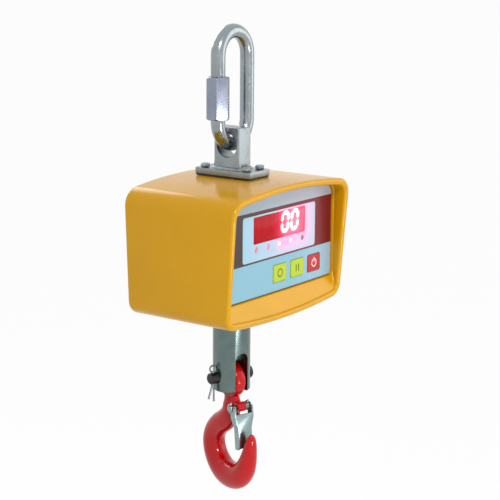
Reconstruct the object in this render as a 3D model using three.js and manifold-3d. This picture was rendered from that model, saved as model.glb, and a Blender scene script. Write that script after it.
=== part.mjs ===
// Hanging crane scale: a quick link carries a load cell, the display housing is bolted to it,
// and a slotted rod on a swivel holds a latched eye hook.
// Millimetres, +Z up, display facing -Y. The origin is where a crane's hook bears on the inside
// of the quick link's crown. Heights below are measured from the middle of the housing.

import * as THREE from "three";
import { mergeVertices } from "three/addons/utils/BufferGeometryUtils.js";
import Module from "manifold-3d";

const wasm = await Module();
wasm.setup();

// Driving dimensions

const gap = 0.3; // between neighbouring pieces
const wall = 3; // housing wall

const body = {
  halfTop: 103.6, halfBottom: 101.8, // half width at the top and at the bottom
  top: 78.8, topRise: 8, topRadius: 19, // crowned top
  bottom: -62.4, bottomRise: 6, bottomRadius: 15, // bellied bottom
  front: 71.4, rear: 54.6, // where the rolled lips start, at mid height
  frontLean: 4.3, rearLean: 1.4, // degrees, both ends further out at the top
  lip: 3.4, // radius of the rolled lip
};
const panel = {
  halfTop: 97, halfBottom: 97, top: 69.6, topRise: 6.2, topRadius: 11,
  bottom: -34.6, bottomRise: 0.5, bottomRadius: 4,
  recess: 14.8, // from the lip's crest to the upright face, at mid height
  overlay: 0.5, plate: 2.5, seat: 7, // overlay, stiff plate, and the ledge behind the plate
};
const windowSize = { width: 91, height: 27, x: 1.2, z: 34, lens: 3, flange: 2.4, radius: 2 };
const digit = { count: 5, width: 15.6, height: 24, depth: 8, pitch: 17.2 };
const indicator = { count: 5, pitch: 20.6, z: 14.4, radius: 2.5, x: 1.2 };
const key = { width: 23.4, height: 18.6, z: -16.2, firstX: 1.5, pitch: 31.3, count: 3, proud: 0.8,
  travel: 0.8 };
const board = { thickness: 1.6, standoff: 14.4, width: 150, top: 52, bottom: -30 };

const cell = { radius: 20, lugWidth: 21, lugDepth: 32, lugTop: 130, lugRoot: 58, holeZ: 111.6,
  holeRadius: 12.6 };
const spigot = { radius: 12, length: 15.4, shoulder: 20 };
const gauge = { bottom: 27, top: 50, depth: 13, sleeve: 3 };
const flange = { width: 37, depth: 70, thickness: 6, gasket: 1.5, boltX: 11.5, boltY: 26.5, weld: 3 };
const flangeBolt = { radius: 3, head: 5.2, headHeight: 4, length: 20 };
const backing = { width: 46, depth: 84, thickness: 4 };

const link = { bar: 7.5, half: 24.8, crown: 227.6, openFrom: 143.5, openTo: 160 };
const sleeve = { flats: 22, length: 43.6, foot: 139.2 };

const carrier = { radius: 32, topWall: 15, bottomWall: 12, cavity: 35, window: 34 };
const bearing = { inner: 12.9, outer: 21, race: 3, ball: 2.6, balls: 10, track: 17, cage: 2 };
const rodNut = { flats: 36, height: 15 };
const rod = { radius: 20, neck: 12, end: -151, slot: 15.8, slotTop: -108, chamfer: 1.6, turn: -18 };

const pin = { radius: 6, z: -136, headRadius: 7.2, head: 3.8, tail: 28.4, cross: 24.4 };
const split = { wire: 1.05, hole: 2.3, eye: 3.4, eyeUp: 10.6, leg: 25.5, splay: 4.2 };

const eye = { inner: 11, outer: 19.4, thick: 13.6 };
const latch = { y: -15, z: -168, sheet: 1.8, earOut: 12, lowOut: 8.6, web: 8.2, drop: 45, ear: 5.4,
  tilt: -6.3, boss: 4.6 };
const latchRivet = { radius: 2.5, head: 4.2, headHeight: 2 };
const latchSpring = { wire: 0.6, coil: 4.3, turns: 2.5 };

const rearCover = { thickness: 3, ledge: 9, depth: 4.2, gasket: 0.8 };
const rearScrew = { x: 91, topZ: 56, bottomZ: -38, radius: 2, head: 3.8, headHeight: 2.4, length: 12 };
const battery = { width: 47, depth: 70, height: 101, x: 36, y: -28, z: -50.5 };
const tray = { sheet: 1.5, rim: 16 };
const strap = { sheet: 1.5, width: 22 };
const mainBoard = { x: -90, halfDepth: 36, bottom: -34, top: 50, post: 3.6 };
const socket = { x: -62, z: -30, radius: 6, collar: 8, length: 16 };

const sides = 24; // sides of an ordinary round piece
const cornerSteps = 2; // steps in half a rounded corner of a plate

// Colours and finishes

const finish = {
  yellowPaint: ["#d3a20f", 0.25, 0.1],
  redPaint: ["#b8141e", 0.25, 0.1],
  zinc: ["#b9bfc4", 0.35, 0.9],
  steel: ["#8d9496", 0.4, 0.9],
  blackSteel: ["#22272a", 0.5, 0.6],
  blackRubber: ["#1c1c1e", 0.85, 0],
  overlay: ["#92c3d4", 0.35, 0],
  window: ["#8c0f18", 0.1, 0],
  glow: ["#ff4a3c", 0.4, 0],
  greenKey: ["#c3d72a", 0.4, 0],
  redKey: ["#c8323c", 0.4, 0],
  greenBoard: ["#1f5a36", 0.5, 0.1],
  greyPlastic: ["#5c6064", 0.6, 0],
  battery: ["#2a2d33", 0.6, 0],
};

// Solid helpers

const scale = new THREE.Group();
const part = new THREE.Group();
part.name = "crane_scale";
part.add(scale);

function add(name, geometry, [color, roughness, metalness], parent = scale) {
  const mesh = new THREE.Mesh(geometry, new THREE.MeshStandardMaterial({ color, roughness, metalness }));
  mesh.name = name;
  parent.add(mesh);
  return mesh;
}

function toSolid(geometry) {
  const bare = geometry.clone();
  bare.deleteAttribute("normal");
  bare.deleteAttribute("uv");
  const merged = mergeVertices(bare, 1e-4);
  return new wasm.Manifold(new wasm.Mesh({
    numProp: 3,
    vertProperties: new Float32Array(merged.attributes.position.array),
    triVerts: new Uint32Array(merged.index.array),
  }));
}

function toGeometry(solid) {
  const mesh = solid.getMesh();
  const geometry = new THREE.BufferGeometry();
  geometry.setAttribute("position", new THREE.BufferAttribute(new Float32Array(mesh.vertProperties), 3));
  geometry.setIndex(new THREE.BufferAttribute(new Uint32Array(mesh.triVerts), 1));
  geometry.computeVertexNormals();
  return geometry;
}

const cut = (base, ...tools) =>
  toGeometry(tools.reduce((rest, tool) => rest.subtract(toSolid(tool)), toSolid(base)));
const join = (base, ...more) => toGeometry(more.reduce((sum, next) => sum.add(toSolid(next)), toSolid(base)));
const common = (base, other) => toGeometry(toSolid(base).intersect(toSolid(other)));

function block(x0, x1, y0, y1, z0, z1) {
  const geometry = new THREE.BoxGeometry(x1 - x0, y1 - y0, z1 - z0);
  return geometry.translate((x0 + x1) / 2, (y0 + y1) / 2, (z0 + z1) / 2);
}

// A round bar along "x", "y" or "z", from one place on that axis to another.
function bar(axis, radius, from, to, [a, b] = [0, 0], count = sides) {
  const geometry = new THREE.CylinderGeometry(radius, radius, to - from, count);
  const middle = (from + to) / 2;
  if (axis === "x") return geometry.rotateZ(-Math.PI / 2).translate(middle, a, b);
  if (axis === "y") return geometry.translate(a, middle, b);
  return geometry.rotateX(Math.PI / 2).translate(a, b, middle);
}

// A solid turned about the Z axis from [radius, z] points.
function turned(points, count = sides) {
  const profile = points.map(([radius, z]) => new THREE.Vector2(radius, z));
  return new THREE.LatheGeometry(profile, count).rotateX(Math.PI / 2);
}

// A turned ring of rectangular section.
function ring(inner, outer, z0, z1, count = sides) {
  return turned([[inner, z0], [outer, z0], [outer, z1], [inner, z1], [inner, z0]], count);
}

// A flat shape drawn in X and Z, with its thickness along Y.
function sheet(shape, y0, y1) {
  const options = { depth: y1 - y0, bevelEnabled: false, curveSegments: cornerSteps };
  return new THREE.ExtrudeGeometry(shape, options).rotateX(Math.PI / 2).translate(0, y1, 0);
}

// A flat shape drawn in X and Y, with its thickness along Z.
function slab(shape, z0, z1) {
  const options = { depth: z1 - z0, bevelEnabled: false, curveSegments: cornerSteps };
  return new THREE.ExtrudeGeometry(shape, options).translate(0, 0, z0);
}

function rounded(width, height, radius, x = 0, z = 0) {
  const w = width / 2;
  const h = height / 2;
  const shape = new THREE.Shape();
  shape.moveTo(x - w + radius, z - h);
  shape.absarc(x + w - radius, z - h + radius, radius, -Math.PI / 2, 0);
  shape.absarc(x + w - radius, z + h - radius, radius, 0, Math.PI / 2);
  shape.absarc(x - w + radius, z + h - radius, radius, Math.PI / 2, Math.PI);
  shape.absarc(x - w + radius, z - h + radius, radius, Math.PI, 1.5 * Math.PI);
  return shape;
}

// A hexagonal prism along Z with its corners turned off at both ends.
function hexagon(flats, z0, z1, bevel) {
  const corner = flats / Math.sqrt(3);
  const prism = new THREE.CylinderGeometry(corner, corner, z1 - z0, 6);
  prism.rotateX(Math.PI / 2).translate(0, 0, (z0 + z1) / 2);
  const face = flats / 2;
  const profile = [[0, z0], [face, z0], [corner + 0.01, z0 + bevel], [corner + 0.01, z1 - bevel],
    [face, z1], [0, z1]];
  return common(prism, turned(profile, 18));
}

// A skin through rings of points; it closes on itself, or is capped at its first and last ring.
function loft(rings, closed) {
  const count = rings[0].length;
  const positions = rings.flat().flatMap((point) => [point.x, point.y, point.z]);
  const faces = [];
  const bands = closed ? rings.length : rings.length - 1;
  for (let band = 0; band < bands; band += 1) {
    const near = band * count;
    const far = ((band + 1) % rings.length) * count;
    for (let i = 0; i < count; i += 1) {
      const next = (i + 1) % count;
      faces.push(near + i, near + next, far + i, near + next, far + next, far + i);
    }
  }
  if (!closed) {
    const last = (rings.length - 1) * count;
    for (let i = 1; i < count - 1; i += 1) {
      faces.push(0, i + 1, i);
      faces.push(last, last + i, last + i + 1);
    }
  }
  if (signedVolume(positions, faces) < 0) faces.reverse();
  const geometry = new THREE.BufferGeometry();
  geometry.setAttribute("position", new THREE.Float32BufferAttribute(positions, 3));
  geometry.setIndex(faces);
  geometry.computeVertexNormals();
  return geometry;
}

function signedVolume(positions, faces) {
  const corner = (index) => new THREE.Vector3().fromArray(positions, 3 * index);
  let sum = 0;
  for (let i = 0; i < faces.length; i += 3) {
    sum += corner(faces[i]).dot(corner(faces[i + 1]).cross(corner(faces[i + 2])));
  }
  return sum;
}

// A bar along a path that lies in one plane. The section at each point is an ellipse: its radius
// in the plane and its radius across it.
function bent(path, across, radii, count = 12) {
  const rings = path.map((point, i) => {
    const before = path[Math.max(i - 1, 0)];
    const after = path[Math.min(i + 1, path.length - 1)];
    const along = after.clone().sub(before).normalize();
    const inPlane = new THREE.Vector3().crossVectors(across, along).normalize();
    const [a, b] = radii(i);
    return Array.from({ length: count }, (_, k) => {
      const angle = (2 * Math.PI * k) / count;
      const offset = inPlane.clone().multiplyScalar(a * Math.cos(angle));
      return point.clone().add(offset).addScaledVector(across, b * Math.sin(angle));
    });
  });
  return loft(rings, false);
}

// Points on an arc in the plane of two axes.
function arcPoints(centre, radius, from, to, steps, u, v) {
  return Array.from({ length: steps + 1 }, (_, i) => {
    const angle = from + ((to - from) * i) / steps;
    const point = centre.clone().addScaledVector(u, radius * Math.cos(angle));
    return point.addScaledVector(v, radius * Math.sin(angle));
  });
}

const X = new THREE.Vector3(1, 0, 0);
const Y = new THREE.Vector3(0, 1, 0);
const Z = new THREE.Vector3(0, 0, 1);
const at = (x, y, z) => new THREE.Vector3(x, y, z);
const tan = (degrees) => Math.tan(THREE.MathUtils.degToRad(degrees));

// Outline of the housing or of the panel, grown outward by a distance (inward when negative).
// The points run anticlockwise from the right side, as [x, z].
function outline(o, grow = 0) {
  const widening = (o.halfTop - o.halfBottom) / (o.top - o.bottom);
  const halfAt = (z) => o.halfBottom + widening * (z - o.bottom) + grow;
  const corner = (top) => {
    const sign = top ? 1 : -1;
    const radius = Math.max((top ? o.topRadius : o.bottomRadius) + grow, 1.2);
    const edge = (top ? o.top : o.bottom) + sign * grow;
    const rise = top ? o.topRise : o.bottomRise;
    const half = halfAt(edge - sign * radius);
    const slope = Math.atan((2 * rise) / half);
    const reach = half - radius + radius * Math.sin(slope);
    const z = edge - sign * (rise * (reach / half) ** 2 + radius * Math.cos(slope));
    return { sign, radius, edge, rise, half, slope, reach, x: half - radius, z };
  };
  const [high, low] = [corner(true), corner(false)];
  const turn = (c) => Array.from({ length: 7 }, (_, i) => {
    const angle = ((Math.PI / 2 - c.slope) * i) / 6;
    return [c.x + c.radius * Math.cos(angle), c.z + c.sign * c.radius * Math.sin(angle)];
  });
  const span = (c) => Array.from({ length: 11 }, (_, i) => {
    const x = c.reach * (1 - (2 * (i + 1)) / 12);
    return [x, c.edge - c.sign * c.rise * (x / c.half) ** 2];
  });
  const mirrored = (points) => points.map(([x, z]) => [-x, z]);
  const [highTurn, lowTurn] = [turn(high), turn(low)];
  return [...highTurn, ...span(high), ...mirrored(highTurn).reverse(),
    ...mirrored(lowTurn), ...mirrored(span(low)), ...lowTurn.reverse()];
}

const outlineShape = (o, grow) => new THREE.Shape(outline(o, grow).map(([x, z]) => new THREE.Vector2(x, z)));
const ringAt = (points, y, lean) => points.map(([x, z]) => at(x, y + z * lean, z));

// Heights and places that follow from the driving dimensions

const frontLean = -tan(body.frontLean);
const rearLean = tan(body.rearLean);
const panelY = -(body.front + body.lip) + panel.recess; // panel face at mid height
const coverY = body.rear - rearCover.depth; // outer face of the rear ledge
const flangeFoot = body.top + gap + flange.gasket + gap;
const flangeTop = flangeFoot + flange.thickness;
const carrierTop = spigot.shoulder - gap;
const cavityTop = carrierTop - carrier.topWall;
const cavityFoot = cavityTop - carrier.cavity;
const carrierFoot = cavityFoot - carrier.bottomWall;
const rodTop = carrierFoot - gap;
const cellFoot = spigot.shoulder - spigot.length;
const bendRise = link.half - Math.sqrt((link.half - link.bar) ** 2 - (cell.lugWidth / 2) ** 2);
const linkFoot = cell.holeZ + cell.holeRadius - bendRise - 2 * gap; // lowest centre of the bar
const bearingPoint = link.crown - link.bar;

// Quick link and its sleeve nut

function linkBody() {
  const upper = at(0, 0, link.crown - link.half);
  const lower = at(0, 0, linkFoot + link.half);
  const path = [
    at(-link.half, 0, link.openTo),
    at(-link.half, 0, (link.openTo + upper.z) / 2),
    ...arcPoints(upper, link.half, Math.PI, 0, 14, X, Z),
    at(link.half, 0, (upper.z + lower.z) / 2),
    ...arcPoints(lower, link.half, 0, -Math.PI, 14, X, Z),
    at(-link.half, 0, link.openFrom),
  ];
  return bent(path, Y, () => [link.bar, link.bar], 14);
}

function linkSleeve() {
  const hex = hexagon(sleeve.flats, sleeve.foot, sleeve.foot + sleeve.length, 1.6);
  const bore = bar("z", link.bar + gap + 0.1, sleeve.foot - 1, sleeve.foot + sleeve.length + 1);
  return cut(hex, bore).translate(-link.half, 0, 0);
}

add("link_body", linkBody(), finish.zinc);
add("link_sleeve_nut", linkSleeve(), finish.zinc);

// Load cell: a drilled lug above, a gauged bar, and a threaded spigot below

function loadCell() {
  const profile = rounded(cell.lugWidth, cell.lugDepth, 1);
  const lug = slab(profile, cell.lugRoot - 1, cell.lugTop);
  const shaft = turned([[0, cellFoot], [spigot.radius - 1, cellFoot], [spigot.radius, cellFoot + 1],
    [spigot.radius, spigot.shoulder], [cell.radius, spigot.shoulder], [cell.radius, cell.lugRoot],
    [0, cell.lugRoot]]);
  const hole = bar("x", cell.holeRadius, -cell.radius, cell.radius, [0, cell.holeZ]);
  const pockets = [-1, 1].map((side) => {
    const inner = side * (cell.radius - gauge.depth);
    const outer = side * (cell.radius + 1);
    const [y0, y1] = [Math.min(inner, outer), Math.max(inner, outer)];
    return block(-cell.radius / 2, cell.radius / 2, y0, y1, gauge.bottom + 4, gauge.top - 4);
  });
  return cut(join(lug, shaft), hole, ...pockets);
}

function gaugeSleeve() {
  const inner = cell.radius + gap;
  return ring(inner, inner + gauge.sleeve, gauge.bottom, gauge.top);
}

add("load_cell", loadCell(), finish.zinc);
add("gauge_sleeve", gaugeSleeve(), finish.steel);

// Flange plate with its weld, gasket, bolts, and the backing plate inside the housing

const boltPlaces = [[-1, -1], [1, -1], [-1, 1], [1, 1]].map(([i, j]) => [i * flange.boltX, j * flange.boltY]);
const boltHoles = (z0, z1, radius) => boltPlaces.map((place) => bar("z", radius, z0, z1, place, 12));
const lugHole = (z0, z1, clear) =>
  slab(rounded(cell.lugWidth + 2 * clear, cell.lugDepth + 2 * clear, 1 + clear), z0, z1);
const backingTop = body.top - body.topRise * ((backing.width / 2) / body.halfTop) ** 2 - wall - gap;

function flangePlate() {
  const plate = slab(rounded(flange.width, flange.depth, 2), flangeFoot, flangeTop);
  const rings = [[flangeTop - 0.5, flange.weld], [flangeTop, flange.weld],
    [flangeTop + flange.weld, 0.4]].map(([z, out]) => {
    const [x, y] = [cell.lugWidth / 2 + gap + out, cell.lugDepth / 2 + gap + out];
    return [at(x, -y, z), at(x, y, z), at(-x, y, z), at(-x, -y, z)];
  });
  const welded = join(plate, loft(rings, false));
  const top = flangeTop + flange.weld + 1;
  return cut(welded, lugHole(flangeFoot - 1, top, gap),
    ...boltHoles(flangeFoot - 1, flangeTop + 1, flangeBolt.radius + gap));
}

function flangeGasket() {
  const z0 = body.top + gap;
  const z1 = z0 + flange.gasket;
  const pad = slab(rounded(flange.width - 1, flange.depth - 1, 2), z0, z1);
  return cut(pad, lugHole(z0 - 1, z1 + 1, 2 * gap), ...boltHoles(z0 - 1, z1 + 1, flangeBolt.radius + gap));
}

function backingPlate() {
  const z0 = backingTop - backing.thickness;
  const plate = slab(rounded(backing.width, backing.depth, 3), z0, backingTop);
  return cut(plate, lugHole(z0 - 1, backingTop + 1, 2 * gap),
    ...boltHoles(z0 - 1, backingTop + 1, flangeBolt.radius + gap));
}

function boltSolid() {
  const seat = flangeTop + gap;
  const head = hexagon(2 * flangeBolt.head * Math.cos(Math.PI / 6), seat, seat + flangeBolt.headHeight, 0.8);
  return join(head, bar("z", flangeBolt.radius, seat - flangeBolt.length, seat + 1, [0, 0], 16));
}

add("flange_plate", flangePlate(), finish.zinc);
add("flange_gasket", flangeGasket(), finish.blackRubber);
add("backing_plate", backingPlate(), finish.steel);
boltPlaces.forEach(([x, y], i) => add(`flange_bolt_${i + 1}`, boltSolid().translate(x, y, 0), finish.zinc));

// Housing shell

function shellRings() {
  const bead = (y, sign, lean) => Array.from({ length: 6 }, (_, i) => {
    const angle = (Math.PI * i) / 5;
    const inset = body.lip * (1 - Math.cos(angle));
    return ringAt(outline(body, -inset), y + sign * body.lip * Math.sin(angle), lean);
  });
  const lipInset = 2 * body.lip;
  const seatFront = panelY + panel.overlay + panel.plate + 2 * gap;
  const seatBack = seatFront + wall;
  const ledgeBack = coverY - wall;
  return [
    ...bead(-body.front, -1, frontLean),
    ringAt(outline(panel, 1), panelY - 1.5, 0),
    ringAt(outline(panel, 1), seatFront, 0),
    ringAt(outline(panel, -panel.seat), seatFront, 0),
    ringAt(outline(panel, -panel.seat), seatBack, 0),
    ringAt(outline(panel, 3), seatBack, 0),
    ringAt(outline(panel, 3.2), seatBack - wall - 1, 0),
    ringAt(outline(body, -wall), -body.front + 5, frontLean),
    ringAt(outline(body, -wall), ledgeBack, rearLean),
    ringAt(outline(body, -lipInset - rearCover.ledge), ledgeBack, rearLean),
    ringAt(outline(body, -lipInset - rearCover.ledge), coverY, rearLean),
    ringAt(outline(body, -lipInset), coverY, rearLean),
    ...bead(body.rear, 1, rearLean).reverse(),
  ];
}

const rodHole = rod.radius + 4.4;
const rearScrewPlaces = [[-1, rearScrew.topZ], [1, rearScrew.topZ], [-1, rearScrew.bottomZ],
  [1, rearScrew.bottomZ]]
  .map(([side, z]) => [side * rearScrew.x, z]);
const batteryFloor = battery.z - gap - tray.sheet;

function trayRib(x) {
  const depth = battery.depth / 2 - 4;
  const middle = battery.y + battery.depth / 2;
  const skin = body.bottom + body.bottomRise * (x / body.halfBottom) ** 2;
  return block(x - 2, x + 2, middle - depth, middle + depth, skin + wall / 2, batteryFloor - gap);
}

function boardPost(y, z) {
  return bar("x", mainBoard.post, -body.halfBottom + 0.5, mainBoard.x - gap, [y, z], 16);
}

const postPlaces = [[-1, mainBoard.bottom + 8], [1, mainBoard.bottom + 8], [-1, mainBoard.top - 8],
  [1, mainBoard.top - 8]]
  .map(([side, z]) => [side * (mainBoard.halfDepth - 8), z]);

const rearTurn = -THREE.MathUtils.degToRad(body.rearLean);
const leanBack = (geometry) => geometry.rotateX(rearTurn).translate(0, coverY, 0);
const screwBoss = (place) => leanBack(bar("y", rearScrew.radius + 2.6, -rearScrew.length, -0.2, place, 12));
const screwHole = (place) => leanBack(bar("y", rearScrew.radius + 0.2, -40, 20, place, 12));

function housingShell() {
  const skin = loft(shellRings(), true);
  const ribs = [battery.x + 8, battery.x + battery.width - 8].map(trayRib);
  const posts = postPlaces.map(([y, z]) => boardPost(y, z));
  const full = join(skin, ...ribs, ...posts, ...rearScrewPlaces.map(screwBoss));
  return cut(full, lugHole(body.top - 20, body.top + 5, 1),
    bar("z", rodHole, body.bottom - 5, body.bottom + 12),
    ...boltHoles(body.top - 20, body.top + 5, flangeBolt.radius + gap), ...rearScrewPlaces.map(screwHole));
}

add("housing_shell", housingShell(), finish.yellowPaint);

// Rod seal in the housing's floor

function rodSeal() {
  const [inner, neck, lip] = [rod.radius + gap, rodHole - gap, rodHole + 4];
  const top = body.bottom + wall + gap;
  const foot = body.bottom - gap;
  return turned([[inner, foot - 3], [lip, foot - 3], [lip, foot], [neck, foot], [neck, top + 0.6],
    [lip, top + 0.6],
    [lip - 1, top + 3], [inner, top + 3], [inner, foot - 3]]);
}

add("rod_seal", rodSeal(), finish.blackRubber);

// Display front, laid out from the panel's upright face

const front = new THREE.Group();
front.position.set(0, panelY, 0);
scale.add(front);

const keyPlaces = Array.from({ length: key.count }, (_, i) => key.firstX + i * key.pitch);
const indicatorPlaces = Array.from({ length: indicator.count }, (_, i) =>
  indicator.x + (i - (indicator.count - 1) / 2) * indicator.pitch);
const digitPlaces = Array.from({ length: digit.count }, (_, i) =>
  windowSize.x + (i - (digit.count - 1) / 2) * digit.pitch);
const plateBack = panel.overlay + gap + panel.plate;

function panelCuts(y0, y1) {
  const { width, height, x: windowX, z, radius } = windowSize;
  return [
    sheet(rounded(width + 2 * gap, height + 2 * gap, radius, windowX, z), y0, y1),
    ...keyPlaces.map((x) => sheet(rounded(key.width + 2 * gap, key.height + 2 * gap, 2, x, key.z), y0, y1)),
    ...indicatorPlaces.map((x) => bar("y", indicator.radius + gap, y0, y1, [x, indicator.z], 12)),
  ];
}

function panelOverlay() {
  return cut(sheet(outlineShape(panel, -gap), 0, panel.overlay), ...panelCuts(-1, panel.overlay + 1));
}

function panelPlate() {
  const face = panel.overlay + gap;
  const plate = sheet(outlineShape(panel, -gap), face, plateBack);
  const posts = [[-1, board.top - 6], [1, board.top - 6], [-1, board.bottom + 8], [1, key.z + key.height]]
    .map(([side, z]) => bar("y", 3, plateBack - 1, board.standoff - gap,
      [side * (board.width / 2 - 6), z], 12));
  return cut(join(plate, ...posts), ...panelCuts(face - 1, plateBack + 1));
}

function windowLens() {
  const { width, height, x, z, radius, lens, flange: rim } = windowSize;
  const pane = sheet(rounded(width, height, radius, x, z), -0.2, plateBack + gap + 1);
  const rearShape = rounded(width + 2 * rim, height + 2 * rim, radius + 1, x, z);
  const rear = sheet(rearShape, plateBack + gap, plateBack + gap + lens / 2);
  return join(pane, rear);
}

function keyCap(x) {
  const cap = sheet(rounded(key.width, key.height, 2, x, key.z), -key.proud, plateBack + gap + 0.5);
  const skirt = sheet(rounded(key.width + 3, key.height + 3, 2, x, key.z), plateBack + gap,
    plateBack + gap + 1.2);
  return join(cap, skirt);
}

function keySwitch(x) {
  const face = plateBack + gap + 1.2 + key.travel + 2 * gap;
  const stem = bar("y", 2, face, board.standoff - 3, [x, key.z], 16);
  return join(stem, block(x - 3.5, x + 3.5, board.standoff - 5, board.standoff - gap, key.z - 3.5,
    key.z + 3.5));
}

function indicatorLamp(x) {
  const lamp = bar("y", indicator.radius, 0.1, board.standoff - gap, [x, indicator.z], 12);
  return join(lamp, bar("y", indicator.radius + 0.8, plateBack + gap, plateBack + gap + 1,
    [x, indicator.z], 12));
}

function digitModule(x) {
  const face = plateBack + gap + windowSize.lens / 2 + gap;
  const [w, h] = [digit.width / 2, digit.height / 2];
  return block(x - w, x + w, Math.max(face, board.standoff - gap - digit.depth), board.standoff - gap,
    windowSize.z - h, windowSize.z + h);
}

function displayBoard() {
  const [y0, y1] = [board.standoff, board.standoff + board.thickness];
  const card = block(-board.width / 2, board.width / 2, y0, y1, board.bottom, board.top);
  const chip = block(-60, -36, y1 - 0.5, y1 + 2.5, -22, -6);
  const header = block(-30, -8, y1 - 0.5, y1 + 6, -20, -12);
  return join(card, chip, header);
}

function panelGasket() {
  const outer = outlineShape(panel, -1);
  outer.holes.push(new THREE.Path(outlineShape(panel, 1 - panel.seat).getPoints()));
  return sheet(outer, plateBack + 0.05, plateBack + gap - 0.05);
}

add("panel_overlay", panelOverlay(), finish.overlay, front);
add("panel_plate", panelPlate(), finish.greyPlastic, front);
add("display_window", windowLens(), finish.window, front);
keyPlaces.forEach((x, i) => {
  add(`key_${i + 1}`, keyCap(x), i === key.count - 1 ? finish.redKey : finish.greenKey, front);
  add(`key_switch_${i + 1}`, keySwitch(x), finish.greyPlastic, front);
});
indicatorPlaces.forEach((x, i) => add(`indicator_${i + 1}`, indicatorLamp(x), finish.glow, front));
digitPlaces.forEach((x, i) => add(`digit_${i + 1}`, digitModule(x), finish.glow, front));
add("display_board", displayBoard(), finish.greenBoard, front);

// Rear cover, flat at the rear ledge and leaning with it

const rear = new THREE.Group();
rear.position.set(0, coverY, 0);
rear.rotation.x = -THREE.MathUtils.degToRad(body.rearLean);
scale.add(rear);

const coverFace = gap + rearCover.gasket + gap;
const coverHoles = (y0, y1) =>
  rearScrewPlaces.map((place) => bar("y", rearScrew.radius + gap, y0, y1, place, 12));

function rearPlate() {
  const plate = sheet(outlineShape(body, -2 * body.lip - 0.6), coverFace, coverFace + rearCover.thickness);
  const hole = bar("y", socket.radius + 1 + gap, coverFace - 1, coverFace + rearCover.thickness + 1,
    [socket.x, socket.z]);
  return cut(plate, hole, ...coverHoles(coverFace - 1, coverFace + rearCover.thickness + 1));
}

function rearGasket() {
  const seal = sheet(outlineShape(body, -2 * body.lip - 1), gap, gap + rearCover.gasket);
  const opening = sheet(outlineShape(body, 1 - 2 * body.lip - rearCover.ledge), 0, coverFace);
  return cut(seal, opening, ...coverHoles(0, coverFace));
}

function rearScrewSolid([x, z]) {
  const seat = coverFace + rearCover.thickness + gap;
  const head = turned([[0, seat], [rearScrew.head, seat], [rearScrew.head, seat + 1],
    [rearScrew.head * 0.6, seat + rearScrew.headHeight], [0, seat + rearScrew.headHeight]], 20);
  const shank = bar("z", rearScrew.radius - 0.1, seat - rearScrew.length, seat + 0.5, [0, 0], 12);
  const slot = block(-rearScrew.head, rearScrew.head, -0.5, 0.5, seat + rearScrew.headHeight - 1, seat + 9);
  return cut(join(head, shank), slot).rotateX(-Math.PI / 2).translate(x, 0, z);
}

function chargingSocket() {
  const { x, z, radius, collar, length } = socket;
  const seat = coverFace + rearCover.thickness + gap;
  const barrel = turned([[0, seat - length], [radius + 1, seat - length], [radius + 1, seat],
    [collar + 2, seat],
    [collar + 2, seat + 1.6], [radius - 0.5, seat + 1.6], [radius - 1.5, seat - 9], [0, seat - 9]], 24);
  const contact = bar("z", 1.1, seat - 10, seat - 2, [0, 0], 12);
  return join(barrel, contact).rotateX(-Math.PI / 2).translate(x, 0, z);
}

function socketCap() {
  const seat = coverFace + rearCover.thickness + gap + 1.6 + gap;
  const plug = socket.radius - 1.5 - gap;
  const rim = socket.collar + 1.4;
  const cap = turned([[0, seat - 1], [2, seat - 1], [2, seat - 5], [plug, seat - 5], [plug, seat],
    [rim, seat],
    [rim, seat + 1], [socket.collar, seat + 2.2], [0, seat + 2.2]], 24);
  return cap.rotateX(-Math.PI / 2).translate(socket.x, 0, socket.z);
}

add("rear_cover", rearPlate(), finish.yellowPaint, rear);
add("rear_gasket", rearGasket(), finish.blackRubber, rear);
rearScrewPlaces.forEach((place, i) => add(`rear_screw_${i + 1}`, rearScrewSolid(place), finish.zinc, rear));
add("charging_socket", chargingSocket(), finish.blackSteel, rear);
add("socket_cap", socketCap(), finish.blackRubber, rear);

// Battery in its tray, with a strap over it

const batteryBox = {
  x0: battery.x, x1: battery.x + battery.width, y0: battery.y, y1: battery.y + battery.depth,
  z0: battery.z, z1: battery.z + battery.height,
};

function batteryPack() {
  const { x0, x1, y0, y1, z0, z1 } = batteryBox;
  const terminals = [y0 + 12, y1 - 12].map((y) => block((x0 + x1) / 2 + 6, (x0 + x1) / 2 + 12, y - 3,
    y + 3, z1 - 5, z1 + 5));
  return join(block(x0, x1, y0, y1, z0, z1 - 3), block(x0 + 2, x1 - 2, y0 + 2, y1 - 2, z1 - 4, z1),
    ...terminals);
}

function batteryTray() {
  const { x0, x1, y0, y1, z0 } = batteryBox;
  const out = gap + tray.sheet;
  const pan = block(x0 - out, x1 + out, y0 - out, y1 + out, z0 - out, z0 + tray.rim);
  return cut(pan, block(x0 - gap, x1 + gap, y0 - gap, y1 + gap, z0 - gap, z0 + tray.rim + 1));
}

function batteryStrap() {
  const { x0, x1, y0, y1, z0, z1 } = batteryBox;
  const middle = (x0 + x1) / 2 - 6;
  const [s, w] = [strap.sheet, strap.width / 2];
  const foot = z0 + tray.rim + gap;
  const hoop = block(middle - w, middle + w, y0 - gap - s, y1 + gap + s, foot, z1 + gap + s);
  return cut(hoop, block(middle - w - 1, middle + w + 1, y0 - gap, y1 + gap, foot - 1, z1 + gap));
}

add("battery", batteryPack(), finish.battery);
add("battery_tray", batteryTray(), finish.steel);
add("battery_strap", batteryStrap(), finish.steel);

// Main board on the posts of the left wall

function mainBoardCard() {
  const { x, halfDepth, bottom, top } = mainBoard;
  const card = block(x, x + board.thickness, -halfDepth, halfDepth, bottom, top);
  const face = x + board.thickness - 0.4;
  const parts = [[9, -20, 0, 8, 26], [5, 6, 28, 18, 34], [3, -24, -4, -20, -4], [11, 8, 22, -22, -8]]
    .map(([h, y0, y1, z0, z1]) => block(face, face + h, y0, y1, z0, z1));
  return join(card, ...parts);
}

add("main_board", mainBoardCard(), finish.greenBoard);

// Swivel: carrier under the load cell, thrust bearing, nut, and the slotted rod

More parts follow.
